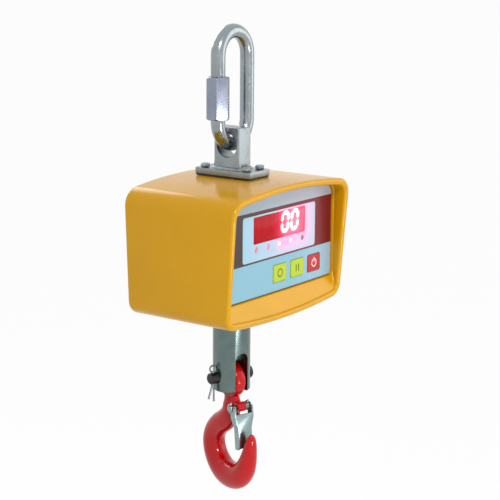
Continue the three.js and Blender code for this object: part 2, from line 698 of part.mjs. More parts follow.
function swivelCarrier() {
  const drum = ring(spigot.radius + gap, carrier.radius, carrierFoot, carrierTop);
  const hollow = bar("z", carrier.radius - 7, cavityFoot, cavityTop);
  const opening = block(-carrier.window / 2, carrier.window / 2, -carrier.radius - 1,
    carrier.radius + 1, cavityFoot, cavityTop);
  return cut(drum, hollow, opening);
}

const raceFoot = cavityFoot + gap;
const ballZ = raceFoot + bearing.race + 0.1 + bearing.ball;
const upperRaceFoot = ballZ + bearing.ball + 0.1;
const nutFoot = upperRaceFoot + bearing.race + gap;

function ballCage() {
  const half = bearing.cage / 2;
  const cage = ring(bearing.inner + 1.5, bearing.outer - 1.5, ballZ - half, ballZ + half);
  const balls = Array.from({ length: bearing.balls }, (_, i) => {
    const angle = (2 * Math.PI * i) / bearing.balls;
    const ball = new THREE.SphereGeometry(bearing.ball, 8, 6);
    return ball.translate(bearing.track * Math.cos(angle), bearing.track * Math.sin(angle), ballZ);
  });
  return join(cage, ...balls);
}

const lower = new THREE.Group();
lower.rotation.z = THREE.MathUtils.degToRad(rod.turn);
scale.add(lower);

const nutTop = nutFoot + rodNut.height;
const nutPinZ = nutFoot + rodNut.height * 0.5;

function nutSolid() {
  const hex = hexagon(rodNut.flats, nutFoot, nutTop, 1.5);
  const cross = bar("x", 2.3, -40, 40, [0, nutPinZ], 12);
  return cut(hex, bar("z", rod.neck + gap, nutFoot - 1, nutTop + 1), cross);
}

function hookRod() {
  const { radius, neck, end, slot, slotTop, chamfer } = rod;
  const neckTop = nutTop + 2;
  const solid = turned([[0, end], [radius - chamfer, end], [radius, end + chamfer],
    [radius, rodTop - 1], [radius - 1, rodTop],
    [neck, rodTop], [neck, neckTop - 1], [neck - 1, neckTop], [0, neckTop]], 40);
  const half = slot / 2;
  const opening = block(-half, half, -radius - 1, radius + 1, end - 1, slotTop - half);
  const arch = bar("y", half, -radius - 1, radius + 1, [0, slotTop - half], 24);
  const pinBore = bar("x", pin.radius + gap, -radius - 1, radius + 1, [0, pin.z], 24);
  return cut(solid, opening, arch, pinBore, bar("x", 2.3, -40, 40, [0, nutPinZ], 12));
}

add("swivel_carrier", swivelCarrier(), finish.steel);
add("thrust_race_lower", ring(bearing.inner, bearing.outer, raceFoot, raceFoot + bearing.race), finish.steel);
add("thrust_ball_cage", ballCage(), finish.steel);
add("thrust_race_upper", ring(bearing.inner, bearing.outer, upperRaceFoot,
  upperRaceFoot + bearing.race), finish.steel, lower);
add("rod_nut", nutSolid(), finish.zinc, lower);
add("nut_pin", bar("x", 2, -rodNut.flats / 2 + 0.5, rodNut.flats / 2 - 0.5, [0, nutPinZ], 12),
  finish.steel, lower);
add("hook_rod", hookRod(), finish.zinc, lower);

// Pin through the slot, and the split pin that keeps it

function clevisPin() {
  const { radius, z, headRadius, head, tail, cross } = pin;
  const faceX = rod.radius + gap;
  const shank = turned([[0, -tail], [radius - 1, -tail], [radius, 1 - tail], [radius, faceX],
    [headRadius, faceX],
    [headRadius, faceX + head - 1], [headRadius - 1, faceX + head], [0, faceX + head]], 24);
  shank.rotateY(Math.PI / 2).translate(0, 0, z);
  return cut(shank, bar("z", split.hole, z - 12, z + 12, [-cross, 0], 12));
}

function splitPin() {
  const { wire, eye: eyeRadius, eyeUp, leg, splay } = split;
  const loop = new THREE.TorusGeometry(eyeRadius, wire, 8, 20).translate(0, eyeUp, 0).rotateX(Math.PI / 2);
  const legPath = (side) => [at(side * wire * 0.8, 0, eyeUp - eyeRadius), at(side * wire * 0.8, 0, 0),
    at(side * wire * 0.9, 0, -pin.radius - 1), at(side * wire * 1.3, 0, -pin.radius - 4),
    at(side * (wire + (side < 0 ? splay : 0.5)), 0, -leg + (side < 0 ? 3.5 : 0))];
  const legs = [-1, 1].map((side) => bent(legPath(side), Y, () => [wire, wire], 8));
  return join(loop, ...legs).translate(-pin.cross, 0, pin.z);
}

add("clevis_pin", clevisPin(), finish.blackSteel, lower);
add("split_pin", splitPin(), finish.zinc, lower);

// Hook. Its plane is the Y-Z plane of the rod, the point on the -Y side.

const eyeZ = pin.z + pin.radius + gap - eye.inner;

// Centre line from the eye to the point: [reach towards the point, drop below the eye's centre,
// radius in the hook's plane, radius across it]
const hookStations = [
  [0, -13.5, 9.5, 6.6], [1, -19, 10, 7], [1.5, -27, 10.6, 9.2], [-1, -37, 11.2, 9.8], [-9, -47, 12.2, 11],
  [-20, -55, 12.4, 11.6], [-29, -65, 12.4, 12], [-32.5, -76, 12.6, 12], [-30, -88, 13, 12.2],
  [-22, -99, 13.8, 12.6],
  [-10.5, -106, 14.6, 13], [3, -107.5, 15, 13], [15, -104, 14, 12.6], [24.5, -95.5, 12, 11.6],
  [30.5, -84, 9.6, 10],
  [34, -72, 7.4, 8.2], [36, -62, 5.6, 6.6], [37.2, -55.5, 3.6, 4.4], [37.8, -52.4, 1.6, 2],
];

const stationStep = 12; // about how far apart the stations are, so the sizes change evenly along them

function smoothStations(stations, steps) {
  const lineOf = (pick) => new THREE.CatmullRomCurve3(stations.map(pick), false, "centripetal");
  const centre = lineOf(([reach, drop]) => at(0, -reach, eyeZ + drop));
  const radii = lineOf(([, , a, b], i) => at(a, b, i * stationStep));
  return Array.from({ length: steps + 1 }, (_, i) => {
    const t = i / steps;
    const radius = radii.getPoint(t);
    return { point: centre.getPoint(t), a: radius.x, b: radius.y };
  });
}

function hookEye() {
  const { inner, outer, thick } = eye;
  const [a, b] = [(outer - inner) / 2, thick / 2];
  const middle = (inner + outer) / 2;
  const profile = Array.from({ length: 11 }, (_, i) => {
    const angle = (2 * Math.PI * (i % 10)) / 10;
    const soften = (value) => Math.sign(value) * Math.abs(value) ** 0.7;
    return [middle + a * soften(Math.cos(angle)), b * soften(Math.sin(angle))];
  });
  return turned(profile, 24).rotateY(Math.PI / 2).translate(0, 0, eyeZ);
}

function hookSolid() {
  const stations = smoothStations(hookStations, 38);
  const stem = bent(stations.map((s) => s.point), X, (i) => [stations[i].a, stations[i].b], 14);
  const bossEnd = latch.boss;
  const boss = bar("x", latch.ear, -bossEnd, bossEnd, [latch.y, latch.z], 20);
  const notches = [-1, 1].map((side) => {
    const [from, to] = side < 0 ? [-16, -bossEnd - gap] : [bossEnd + gap, 16];
    return bar("x", latch.ear + 1.2, from, to, [latch.y, latch.z], 24);
  });
  const bore = bar("x", latchRivet.radius + gap, -16, 16, [latch.y, latch.z], 16);
  const shaped = cut(join(hookEye(), stem), ...notches);
  return cut(join(shaped, boss), bore);
}

add("hook", hookSolid(), finish.redPaint, lower);

// Latch: a channel of bent sheet, wider at its ears, on a rivet through the hook's boss

const latchGroup = new THREE.Group();
latchGroup.position.set(0, latch.y, latch.z);
latchGroup.rotation.x = THREE.MathUtils.degToRad(latch.tilt);
lower.add(latchGroup);

function channelRings(inset) {
  const { earOut, lowOut, web, drop, ear } = latch;
  const station = (z, half) => {
    const x = half - inset;
    const y = -web + inset;
    const back = inset > 0 ? ear + 9 : 0;
    return [at(x, back, z), at(-x, back, z), at(-x, y, z), at(x, y, z)];
  };
  const end = inset > 0 ? 2 : 0;
  return [station(-drop - end, lowOut), station(-22, lowOut), station(-10, earOut),
    station(ear + 1 + end, earOut)];
}

function latchSolid() {
  const { earOut, web, ear, drop, sheet: thick } = latch;
  const channel = cut(loft(channelRings(0), false), loft(channelRings(thick), false));
  const ears = [-1, 1].map((side) => {
    const [from, to] = side < 0 ? [-earOut, -earOut + thick] : [earOut - thick, earOut];
    return bar("x", ear, from, to, [0, 0], 20);
  });
  const throat = block(-earOut + thick, earOut - thick, -web - 1, 0, -6.5, ear + 3);
  const shoulder = block(-earOut - 1, earOut + 1, -web - 1, -1, 1.5, ear + 3);
  const toe = bar("x", web + 2, -earOut, earOut, [1, -drop + web], 24);
  const tail = block(-earOut - 1, earOut + 1, -web - 6, 20, -drop - 1, -drop + web);
  const blank = cut(join(channel, ...ears), throat, shoulder,
    bar("x", latchRivet.radius + gap, -20, 20, [0, 0], 16));
  return cut(blank, cut(tail, toe));
}

function latchRivetSolid() {
  const { radius, head, headHeight } = latchRivet;
  const face = latch.earOut + gap;
  const half = [[0, -face - headHeight], [head - 1, -face - headHeight], [head, -face - headHeight + 1],
    [head, -face], [radius, -face]];
  const mirrored = half.map(([r, x]) => [r, -x]).reverse();
  return turned([...half, ...mirrored], 20).rotateY(Math.PI / 2).translate(0, latch.y, latch.z);
}

// A torsion spring beside the boss; its legs lie along the hook and behind the latch's web.
function latchSpringSolid() {
  const { wire, coil, turns } = latchSpring;
  const start = latch.boss + gap + wire + 0.2;
  const pitch = 2 * wire + 0.25;
  class SpringCurve extends THREE.Curve {
    getPoint(t, target = new THREE.Vector3()) {
      const angle = 2 * Math.PI * turns * t;
      return target.set(start + pitch * turns * t, coil * Math.cos(angle), coil * Math.sin(angle));
    }
  }
  const section = new THREE.Shape();
  section.absarc(0, 0, wire, 0, 2 * Math.PI);
  const geometry = new THREE.ExtrudeGeometry(section,
    { steps: 30, extrudePath: new SpringCurve(), curveSegments: 3 });
  return geometry.translate(0, latch.y, latch.z);
}

add("latch", latchSolid(), finish.zinc, latchGroup);
add("latch_rivet", latchRivetSolid(), finish.zinc, lower);
add("latch_spring", latchSpringSolid(), finish.steel, lower);

scale.position.z = -bearingPoint;

export default part;
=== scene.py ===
"""Looks of a crane scale: link, yellow housing with a red display, swivel rod and safety hook."""

import math
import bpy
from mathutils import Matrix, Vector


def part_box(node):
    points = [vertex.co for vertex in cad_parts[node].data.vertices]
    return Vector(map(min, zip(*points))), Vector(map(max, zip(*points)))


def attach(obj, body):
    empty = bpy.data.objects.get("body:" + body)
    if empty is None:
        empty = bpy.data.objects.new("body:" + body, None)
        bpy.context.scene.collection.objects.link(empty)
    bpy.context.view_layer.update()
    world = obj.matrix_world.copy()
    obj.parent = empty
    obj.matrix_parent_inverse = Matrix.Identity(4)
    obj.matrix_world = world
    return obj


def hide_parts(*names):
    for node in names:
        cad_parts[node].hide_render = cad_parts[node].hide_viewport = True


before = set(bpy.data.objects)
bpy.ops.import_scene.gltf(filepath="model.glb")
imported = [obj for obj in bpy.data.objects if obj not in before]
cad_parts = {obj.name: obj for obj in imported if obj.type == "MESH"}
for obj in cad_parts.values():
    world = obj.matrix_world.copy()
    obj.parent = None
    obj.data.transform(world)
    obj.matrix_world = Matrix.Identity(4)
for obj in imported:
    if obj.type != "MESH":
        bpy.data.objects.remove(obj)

from types import SimpleNamespace

import bmesh
import bpy
from mathutils import Matrix, Vector

bl_info = {
    "name": "Crane scale",
    "version": (1, 0, 0),
    "blender": (4, 5, 0),
    "location": "3D View > Sidebar > Crane scale",
    "description": "Builds the visible pieces and finishes of a hanging crane scale",
    "category": "Object",
}

MM = 0.001
TURN = math.radians(-18)  # how the rod and the hook hang, turned about the load line
CROWN_OVER_MID = 78.8  # from mid height to the top of the housing
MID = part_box("housing_shell")[1].z - CROWN_OVER_MID * MM  # height the sizes are measured from
PANEL_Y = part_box("panel_overlay")[0].y / MM
LATHE_SIDES = 96

# Places in millimetres that the pieces share with the packed nodes
GAP = 0.3  # clearance that the packed solids keep
FLANGE_FOOT = 80.9
BOLT_HOLE = 3.3
SEAL_NECK, SEAL_LIP, SEAL_BORE = 24.1, 28.4, 20.3
COVER_FACE, COVER_TOP = 1.4, 4.4
SOCKET_PLACE = (-62, 0, -30)
SOCKET_HOLE = 7.3
SCREW_PLACES = [(side * 91, z) for z in (56, -38) for side in (-1, 1)]
ROD_TOP = -42.6
ROD_NECK = 12  # radius of the rod's neck, over its shoulder
SPLIT_PIN_X, SPLIT_PIN_HOLE = -24.4, 2.3
RIVET_BORE = 2.8
LATCH_TILT = math.radians(-6.3)
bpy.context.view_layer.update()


def painted(red, green, blue):
    """A colour from its screen values of 0 to 255."""
    def linear(value):
        share = value / 255
        return share / 12.92 if share <= 0.04045 else ((share + 0.055) / 1.055) ** 2.4
    return (linear(red), linear(green), linear(blue), 1.0)


def length(name, about, value):
    """A size in the sidebar, given here in millimetres."""
    return bpy.props.FloatProperty(
        name=name, description=about, default=value * MM, unit="LENGTH", precision=4)


def colour(name, about, value):
    """A colour in the sidebar."""
    return bpy.props.FloatVectorProperty(
        name=name, description=about, default=value, size=4, min=0, max=1, subtype="COLOR")


class LinkSizes(bpy.types.PropertyGroup):
    """Sizes of the quick link and its sleeve nut."""
    bar: length("Bar radius", "Radius of the link's bar", 7.5)
    half: length("Half width", "From the load line to the middle of the bar", 24.8)
    crown: length("Crown height", "Height of the bar's middle at the crown", 227.6)
    open_from: length("Opening foot", "Where the opening in the leg starts", 143.5)
    open_to: length("Opening top", "Where the opening in the leg ends", 160)
    sleeve_flats: length("Sleeve flats", "Width over the sleeve nut's flats", 22)
    sleeve_foot: length("Sleeve foot", "Lower end of the sleeve nut", 139.2)
    sleeve_length: length("Sleeve length", "Length of the sleeve nut", 43.6)


class LugSizes(bpy.types.PropertyGroup):
    """Sizes of the load cell's lug and of the flange plate."""
    width: length("Lug width", "Width of the lug", 21)
    depth: length("Lug depth", "Depth of the lug", 32)
    top: length("Lug top", "Height of the lug's top", 130)
    root: length("Lug root", "Height of the lug's root in the housing", 58)
    hole: length("Hole radius", "Radius of the hole that takes the link", 12.6)
    hole_height: length("Hole height", "Height of the hole's middle", 111.6)
    flange_width: length("Flange width", "Width of the flange plate", 37)
    flange_depth: length("Flange depth", "Depth of the flange plate", 70)
    flange_thickness: length("Flange thickness", "Thickness of the flange plate", 6)
    bolt_x: length("Bolt offset across", "From the load line to a bolt, across", 11.5)
    bolt_y: length("Bolt offset along", "From the load line to a bolt, along", 26.5)
    bolt_head: length("Bolt head radius", "Radius over the corners of a bolt's head", 5.2)
    weld: length("Weld leg", "Leg of the fillet weld round the lug", 3)


class HousingSizes(bpy.types.PropertyGroup):
    """Sizes of the yellow housing."""
    half_top: length("Half width at the top", "Half of the width at the top", 103.6)
    half_bottom: length("Half width at the bottom", "Half of the width at the bottom", 101.8)
    top: length("Top", "Height of the crowned top", 78.8)
    top_rise: length("Top rise", "How far the top is crowned", 8)
    top_radius: length("Top corner radius", "Radius of the upper corners", 19)
    bottom: length("Bottom", "Height of the bellied bottom", -62.4)
    bottom_rise: length("Bottom rise", "How far the bottom is bellied", 6)
    bottom_radius: length("Bottom corner radius", "Radius of the lower corners", 15)
    front: length("Front lip", "Where the front lip starts at mid height", 71.4)
    rear: length("Rear lip", "Where the rear lip starts at mid height", 54.6)
    lip: length("Lip radius", "Radius of the rolled lips", 3.4)
    wall: length("Wall", "Thickness of the wall", 3)
    ledge: length("Rear ledge", "Width of the ledge behind the rear cover", 9)
    cover_depth: length("Cover depth", "How deep the rear cover lies behind the lip", 4.2)


class PanelSizes(bpy.types.PropertyGroup):
    """Sizes of the display panel."""
    half_top: length("Half width at the top", "Half of the width at the top", 97)
    half_bottom: length("Half width at the bottom", "Half of the width at the bottom", 97)
    top: length("Top", "Height of the panel's arched top", 69.6)
    top_rise: length("Top rise", "How far the top is arched", 6.2)
    top_radius: length("Top corner radius", "Radius of the upper corners", 11)
    bottom: length("Bottom", "Height of the panel's lower edge", -34.6)
    bottom_rise: length("Bottom rise", "How far the lower edge is curved", 0.5)
    bottom_radius: length("Bottom corner radius", "Radius of the lower corners", 4)
    window_width: length("Window width", "Width of the red window", 91)
    window_height: length("Window height", "Height of the red window", 27)
    window_x: length("Window middle", "Middle of the red window, across", 1.2)
    window_z: length("Window middle, up", "Middle of the red window, up", 34)
    digit_pitch: length("Digit pitch", "From one digit to the next", 17.2)
    lamp_pitch: length("Lamp pitch", "From one lamp to the next", 20.6)
    lamp_z: length("Lamp height", "Height of the row of lamps", 14.4)
    lamp_radius: length("Lamp radius", "Radius of a lamp", 2.5)
    key_width: length("Key width", "Width of a key", 23.4)
    key_height: length("Key height", "Height of a key", 18.6)
    key_first: length("First key", "Middle of the first key, across", 1.5)
    key_pitch: length("Key pitch", "From one key to the next", 31.3)
    key_z: length("Key height in the panel", "Height of the row of keys", -16.2)


class HookSizes(bpy.types.PropertyGroup):
    """Sizes of the rod, its pin, the hook and the latch."""
    rod: length("Rod radius", "Radius of the rod", 20)
    rod_end: length("Rod end", "Lower end of the rod", -151)
    slot: length("Slot width", "Width of the slot for the hook's eye", 15.8)
    slot_top: length("Slot top", "Upper end of the slot", -108)
    pin: length("Pin radius", "Radius of the cross pin", 6)
    pin_z: length("Pin height", "Height of the cross pin", -136)
    pin_head: length("Pin head radius", "Radius of the cross pin's head", 7.2)
    eye_inner: length("Eye inner radius", "Inner radius of the hook's eye", 11)
    eye_outer: length("Eye outer radius", "Outer radius of the hook's eye", 19.4)
    eye_thick: length("Eye thickness", "Thickness of the hook's eye", 13.6)
    latch_y: length("Latch pivot forward", "Place of the latch's rivet, forward", -15)
    latch_z: length("Latch pivot height", "Height of the latch's rivet", -168)
    latch_sheet: length("Latch sheet", "Thickness of the latch's sheet", 1.8)


class FinishColours(bpy.types.PropertyGroup):
    """Colours of the finishes."""
    yellow: colour("Yellow paint", "Colour of the housing", painted(210, 154, 0))
    red: colour("Red paint", "Colour of the hook", painted(184, 2, 10))
    zinc: colour("Zinc plate", "Colour of the plated steel", painted(190, 199, 203))
    steel: colour("Bare steel", "Colour of the bare steel", painted(168, 170, 172))
    sky: colour("Panel blue", "Colour of the panel's lower part", painted(127, 176, 193))
    silver: colour("Panel silver", "Colour of the panel's upper band", painted(176, 182, 196))
    lavender: colour("Display frame", "Colour round the window", painted(190, 197, 218))
    brown: colour("Band, left end", "Colour of the dark band's left end", painted(52, 30, 26))
    maroon: colour("Band, right end", "Colour of the dark band's right end", painted(112, 12, 30))
    green: colour("Green key", "Colour of the two plain keys", painted(172, 194, 22))
    red_key: colour("Red key", "Colour of the third key", painted(176, 32, 46))


def in_mm(group):
    """The lengths of a group of sizes, in millimetres."""
    return SimpleNamespace(**{key: getattr(group, key) / MM for key in group.__annotations__})


# Node trees

class Value:
    """A number's socket in a node tree, with the usual arithmetic."""

    def __init__(self, net, socket):
        self.net, self.socket = net, socket

    def __add__(self, other): return self.net.math("ADD", self, other)
    def __radd__(self, other): return self.net.math("ADD", other, self)
    def __sub__(self, other): return self.net.math("SUBTRACT", self, other)
    def __rsub__(self, other): return self.net.math("SUBTRACT", other, self)
    def __mul__(self, other): return self.net.math("MULTIPLY", self, other)
    def __rmul__(self, other): return self.net.math("MULTIPLY", other, self)
    def __truediv__(self, other): return self.net.math("DIVIDE", self, other)
    def __pow__(self, other): return self.net.math("POWER", self, other)
    def __gt__(self, other): return self.net.math("GREATER_THAN", self, other)
    def __lt__(self, other): return self.net.math("LESS_THAN", self, other)
    def __abs__(self): return self.net.math("ABSOLUTE", self)
    def larger(self, other): return self.net.math("MAXIMUM", self, other)


class Net:
    """A node tree that one method fills with any node."""

    def __init__(self, tree):
        self.tree = tree
        tree.nodes.clear()

    def node(self, kind, settings=None, inputs=None):
        made = self.tree.nodes.new(kind)
        for key, value in (settings or {}).items():
            if key == "stops":
                ramp = made.color_ramp
                while len(ramp.elements) < len(value):
                    ramp.elements.new(1)
                for element, (place, shade) in zip(ramp.elements, value):
                    element.position, element.color = place, shade
            else:
                setattr(made, key, value)
        for key, value in (inputs or {}).items():
            self.feed(made.inputs[key], value)
        return made

    def feed(self, socket, value):
        value = value.socket if isinstance(value, Value) else value
        if isinstance(value, bpy.types.NodeSocket):
            self.tree.links.new(value, socket)
        else:
            socket.default_value = value

    def math(self, operation, *terms):
        made = self.node("ShaderNodeMath", {"operation": operation}, dict(enumerate(terms)))
        return Value(self, made.outputs[0])

    def place(self):
        """Where a point is on the object, as x, y and z in millimetres from mid height."""
        made = self.node("ShaderNodeSeparateXYZ", inputs={0: self.coordinates()})
        x, y, z = (Value(self, socket) for socket in made.outputs)
        return x / MM, y / MM, (z - MID) / MM

    def coordinates(self):
        return self.node("ShaderNodeTexCoord").outputs["Object"]

    def noise(self, size, detail=3.0, stretch=(1, 1, 1), roughness=0.55):
        """Smooth noise whose features are about size millimetres, longer where stretch is more."""
        share = tuple(1 / factor for factor in stretch)
        spread = self.node("ShaderNodeVectorMath", {"operation": "MULTIPLY"},
                           {0: self.coordinates(), 1: share})
        made = self.node("ShaderNodeTexNoise", {}, {
            "Vector": spread.outputs[0], "Scale": 1 / (size * MM), "Detail": detail,
            "Roughness": roughness})
        return Value(self, made.outputs[0])

    def ramp(self, value, low, high, out_low=0.0, out_high=1.0):
        """A value moved from one range to another and kept inside it."""
        made = self.node("ShaderNodeMapRange", {"clamp": True}, {
            0: value, 1: low, 2: high, 3: out_low, 4: out_high})
        return Value(self, made.outputs[0])

    def blend(self, share, first, second):
        """A colour between two, by share."""
        made = self.node("ShaderNodeMix", {"data_type": "RGBA"}, {0: share, 6: first, 7: second})
        return made.outputs[2]

    def bump(self, height, depth, strength=1.0):
        made = self.node("ShaderNodeBump", {}, {
            "Strength": strength, "Distance": depth * MM, "Height": height})
        return made.outputs[0]


def darker(shade, factor):
    return tuple(channel * factor for channel in shade[:3]) + (1.0,)


def tinted(shade, factors):
    return tuple(channel * factor for channel, factor in zip(shade, factors)) + (1.0,)


class Finish(Net):
    """A material, made from a Principled shader's inputs."""

    def __init__(self, name):
        self.material = bpy.data.materials.new(name)
        self.material.use_nodes = True
        super().__init__(self.material.node_tree)

    def done(self, **inputs):
        named = {key.replace("_", " "): value for key, value in inputs.items()}
        shader = self.node("ShaderNodeBsdfPrincipled", {}, named)
        self.node("ShaderNodeOutputMaterial", {}, {0: shader.outputs[0]})
        return self.material


def metal_finish(name, shade, rough, grain=0.0, grain_axis=2, stain=0.25):
    """Plated or bare steel: cloudy tone, stains, and marks that lie across one axis."""
    f = Finish(name)
    clouds = f.noise(14, 4)
    grit = f.noise(1.1, 3)
    spots = f.ramp(f.noise(4.5, 5), 0.56, 0.7)
    tone = f.blend(f.ramp(clouds, 0.3, 0.7), darker(shade, 0.80), shade)
    tone = f.blend(spots * stain, tone, darker(painted(150, 138, 116), 0.8))
    stretch = [6.0, 6.0, 6.0]
    stretch[grain_axis] = 0.28
    marks = f.noise(1.6, 2, stretch)
    height = grit * 0.35 + marks * grain
    return f.done(
        Base_Color=tone, Metallic=1.0 - spots * stain * 0.4,
        Roughness=(f.ramp(clouds * 0.6 + grit * 0.4, 0.3, 0.7, rough - 0.07, rough + 0.10)
                   + spots * 0.15),
        Normal=f.bump(height, 0.05, 0.5))


def paint_finish(name, shade, rough=0.19, worn=None, gloss=0.26):
    """Glossy stoved paint with a slight orange peel, dust and small chips."""
    f = Finish(name)
    broad = f.noise(60, 2)
    peel = f.noise(2.6, 2)
    dust = f.ramp(f.noise(9, 6), 0.55, 0.8)
    chips = f.ramp(f.noise(2.2, 5), 0.735, 0.755)
    tone = f.blend(f.ramp(broad, 0.3, 0.7), darker(shade, 0.93), shade)
    tone = f.blend(dust * 0.10, tone, darker(shade, 0.55))
    tone = f.blend(chips * 0.5, tone, darker(shade, 0.35))
    metallic, roughness = 0.0, f.ramp(dust, 0, 1, rough, rough + 0.18)
    if worn:
        bare = worn(f)
        tone = f.blend(bare, tone, painted(120, 112, 108))
        metallic, roughness = bare * 0.85, roughness + bare * 0.12
    return f.done(
        Base_Color=tone, Roughness=roughness, Metallic=metallic,
        Specular_IOR_Level=gloss, Coat_Weight=0.04, Coat_Roughness=0.05,
        Normal=f.bump(peel - chips * 0.5, 0.04, 0.25))


def plastic_finish(name, shade, rough=0.45, texture=0.9):
    """Moulded plastic or rubber with a fine texture and faint dust."""
    f = Finish(name)
    fine = f.noise(texture, 3)
    dust = f.ramp(f.noise(11, 5), 0.45, 0.8)
    tone = f.blend(dust * 0.25, shade, f.blend(0.5, shade, painted(150, 146, 140)))
    return f.done(
        Base_Color=tone, Roughness=f.ramp(fine + dust * 0.3, 0.3, 0.9, rough - 0.06, rough + 0.12),
        Normal=f.bump(fine, 0.05, 0.4))


def board_finish():
    """Green circuit board: solder mask with traces and pads."""
    f = Finish("green_board")
    x, y, z = f.place()
    across = f.math("PINGPONG", x + y, 1.9)
    upward = f.math("PINGPONG", z, 2.3)
    traces = ((across < 0.35) + (upward < 0.3)) * f.ramp(f.noise(13, 1), 0.46, 0.5)
    pads = f.ramp(f.noise(3.1, 1), 0.66, 0.68)
    tone = f.blend(traces, painted(24, 84, 48), painted(44, 120, 70))
    tone = f.blend(pads, tone, painted(196, 186, 150))
    return f.done(Base_Color=tone, Roughness=f.ramp(traces, 0, 1, 0.35, 0.5), Metallic=pads * 0.8,
                  Normal=f.bump(traces + pads, 0.04, 0.5))


def rounded_box(f, x, z, middle, half, radius):
    """1 inside a rounded rectangle drawn in x and z, 0 outside it."""
    across = (abs(x - middle[0]) - (half[0] - radius)).larger(0.0)
    upward = (abs(z - middle[1]) - (half[1] - radius)).larger(0.0)
    return f.math("SQRT", across * across + upward * upward) < radius


def glow_share(f, x, z, middle, half, reach):
    """How near a point is to a lit rectangle: 1 on it, 0 at reach millimetres away."""
    across = (abs(x - middle[0]) - half[0]).larger(0.0)
    upward = (abs(z - middle[1]) - half[1]).larger(0.0)
    away = f.math("SQRT", across * across + upward * upward)
    return f.ramp(away, 0.0, reach, 1.0, 0.0) ** 2.2


def overlay_finish(colours, sizes, lit):
    """Printed film: silver band, dark band, display frame and blue field, with a painted pink glow
    of the lit digits and lamps in its colour and emission.
    """
    f = Finish("printed_film")
    x, _, z = f.place()
    band = (z > 1.1) * (z < 53.4)
    silver = z > 53.4
    dark = f.blend(f.ramp(x, -70, 70), colours.brown, colours.maroon)
    light_frame = rounded_box(f, x, z, (1.5, 26.3), (64.2, 23.3), 3)
    top = f.blend(f.ramp(x, -90, 60), painted(150, 176, 190), colours.silver)
    base = f.blend(silver, colours.sky, top)
    base = f.blend(f.ramp(x, 20, 95) * 0.35, base, colours.lavender)
    base = f.blend(band, base, dark)
    framed = f.blend(f.ramp(x, -62, 30), painted(150, 192, 212), colours.lavender)
    base = f.blend(light_frame, base, framed)
    # Painted light: the pink glow round the lit digits and the two bright lamps is painted into the
    # film's colour and given as emission.
    lamps = ((sizes.window_x + sizes.lamp_pitch / 2, sizes.lamp_z), (sizes.lamp_pitch / 2, 0.5))
    glow = glow_share(f, x, z, *lit, 27.0).larger(glow_share(f, x, z, *lamps, 11.0))
    base = f.blend(glow * light_frame * 0.6, base, painted(250, 110, 165))
    fine = f.noise(0.8, 2)
    smudge = f.ramp(f.noise(20, 4), 0.45, 0.75)
    return f.done(
        Base_Color=base, Roughness=f.ramp(smudge, 0, 1, 0.30, 0.44),
        Emission_Color=f.blend(glow * light_frame, (0, 0, 0, 1), painted(255, 90, 145)),
        Emission_Strength=0.8, Normal=f.bump(fine, 0.02, 0.3))


def window_finish(lit):
    """Red filter over the digits, with painted glow: a dim red emission all over and a bright pink
    halo near the lit digits behind it.
    """
    f = Finish("red_filter")
    x, _, z = f.place()
    # Painted light: the filter's emission stands in for the digits' light, brightest near the lit
    # ones.
    near = glow_share(f, x, z, *lit, 26.0)
    painted_halo = glow_share(f, x, z, *lit, 8.0)
    glow = f.blend(near, painted(112, 2, 12), painted(255, 34, 100))
    glow = f.blend(painted_halo * 0.85, glow, painted(255, 165, 195))
    smears = f.ramp(f.noise(16, 4), 0.4, 0.8)
    return f.done(
        Base_Color=f.blend(smears * 0.2, painted(168, 8, 20), painted(142, 6, 16)),
        Specular_IOR_Level=0.2, Alpha=0.50 - painted_halo * 0.16,
        Roughness=f.ramp(smears, 0, 1, 0.06, 0.16), Emission_Color=glow, Emission_Strength=1.35)


def led_finish(name, shade, strength):
    """A segment of a digit that glows, a little brighter in some patches than in others."""
    f = Finish(name)
    spread = f.noise(5, 2)
    return f.done(
        Base_Color=darker(shade, 0.6), Roughness=f.ramp(spread, 0, 1, 0.3, 0.5),
        Emission_Color=f.blend(spread, darker(shade, 0.85), shade), Emission_Strength=strength)


def lamp_finish(sizes):
    """The row of lamps: the first two dim, the next two bright, and the last one off."""
    f = Finish("lamp_row")
    x, _, z = f.place()
    half_row = 2.5 * sizes.lamp_pitch
    share = f.ramp(x, sizes.window_x - half_row, sizes.window_x + half_row)
    stops = [(0.0, painted(214, 62, 86)), (0.2, painted(238, 84, 130)),
             (0.4, painted(255, 222, 232)), (0.6, painted(255, 214, 226)),
             (0.8, painted(96, 40, 66))]
    chosen = f.node("ShaderNodeValToRGB", {"stops": stops}, {0: share})
    chosen.color_ramp.interpolation = "CONSTANT"
    grain = f.noise(1.5, 2)
    return f.done(
        Base_Color=f.blend(grain * 0.3, chosen.outputs[0], painted(250, 240, 244)),
        Roughness=f.ramp(grain, 0.2, 0.8, 0.22, 0.4),
        Emission_Color=chosen.outputs[0], Emission_Strength=0.75)


def key_finish(name, shade, middle, mark):
    """A membrane key with a plain printed mark: a ring, two bars, or a ring with a bar."""
    f = Finish(name)
    x, _, z = f.place()
    across, upward = x - middle[0], z - middle[1]
    away = f.math("SQRT", across * across + upward * upward)
    ring = (abs(away - 4.0) < 0.65)
    bars = (abs(abs(across) - 2.2) < 0.8) * (abs(upward) < 3.8)
    stroke = (abs(across) < 0.65) * (abs(upward - 3.2) < 2.6)
    gap = (abs(across) < 1.7) * (upward > 0.0)
    drawn = {"ring": ring, "bars": bars, "power": (ring * (1.0 - gap)).larger(stroke)}[mark]
    edge = 1.0 - rounded_box(f, x, z, middle, (10.7, 8.3), 2.0)
    fine = f.noise(0.7, 2)
    tone = f.blend(edge * 0.45, shade, darker(shade, 0.7))
    ink = painted(60, 84, 20) if mark != "power" else painted(244, 214, 216)
    return f.done(Base_Color=f.blend(drawn, tone, ink), Roughness=f.ramp(fine, 0.2, 0.8, 0.36, 0.5),
                  Normal=f.bump(fine, 0.02, 0.4))


# Meshes, drawn in millimetres from mid height on the load line

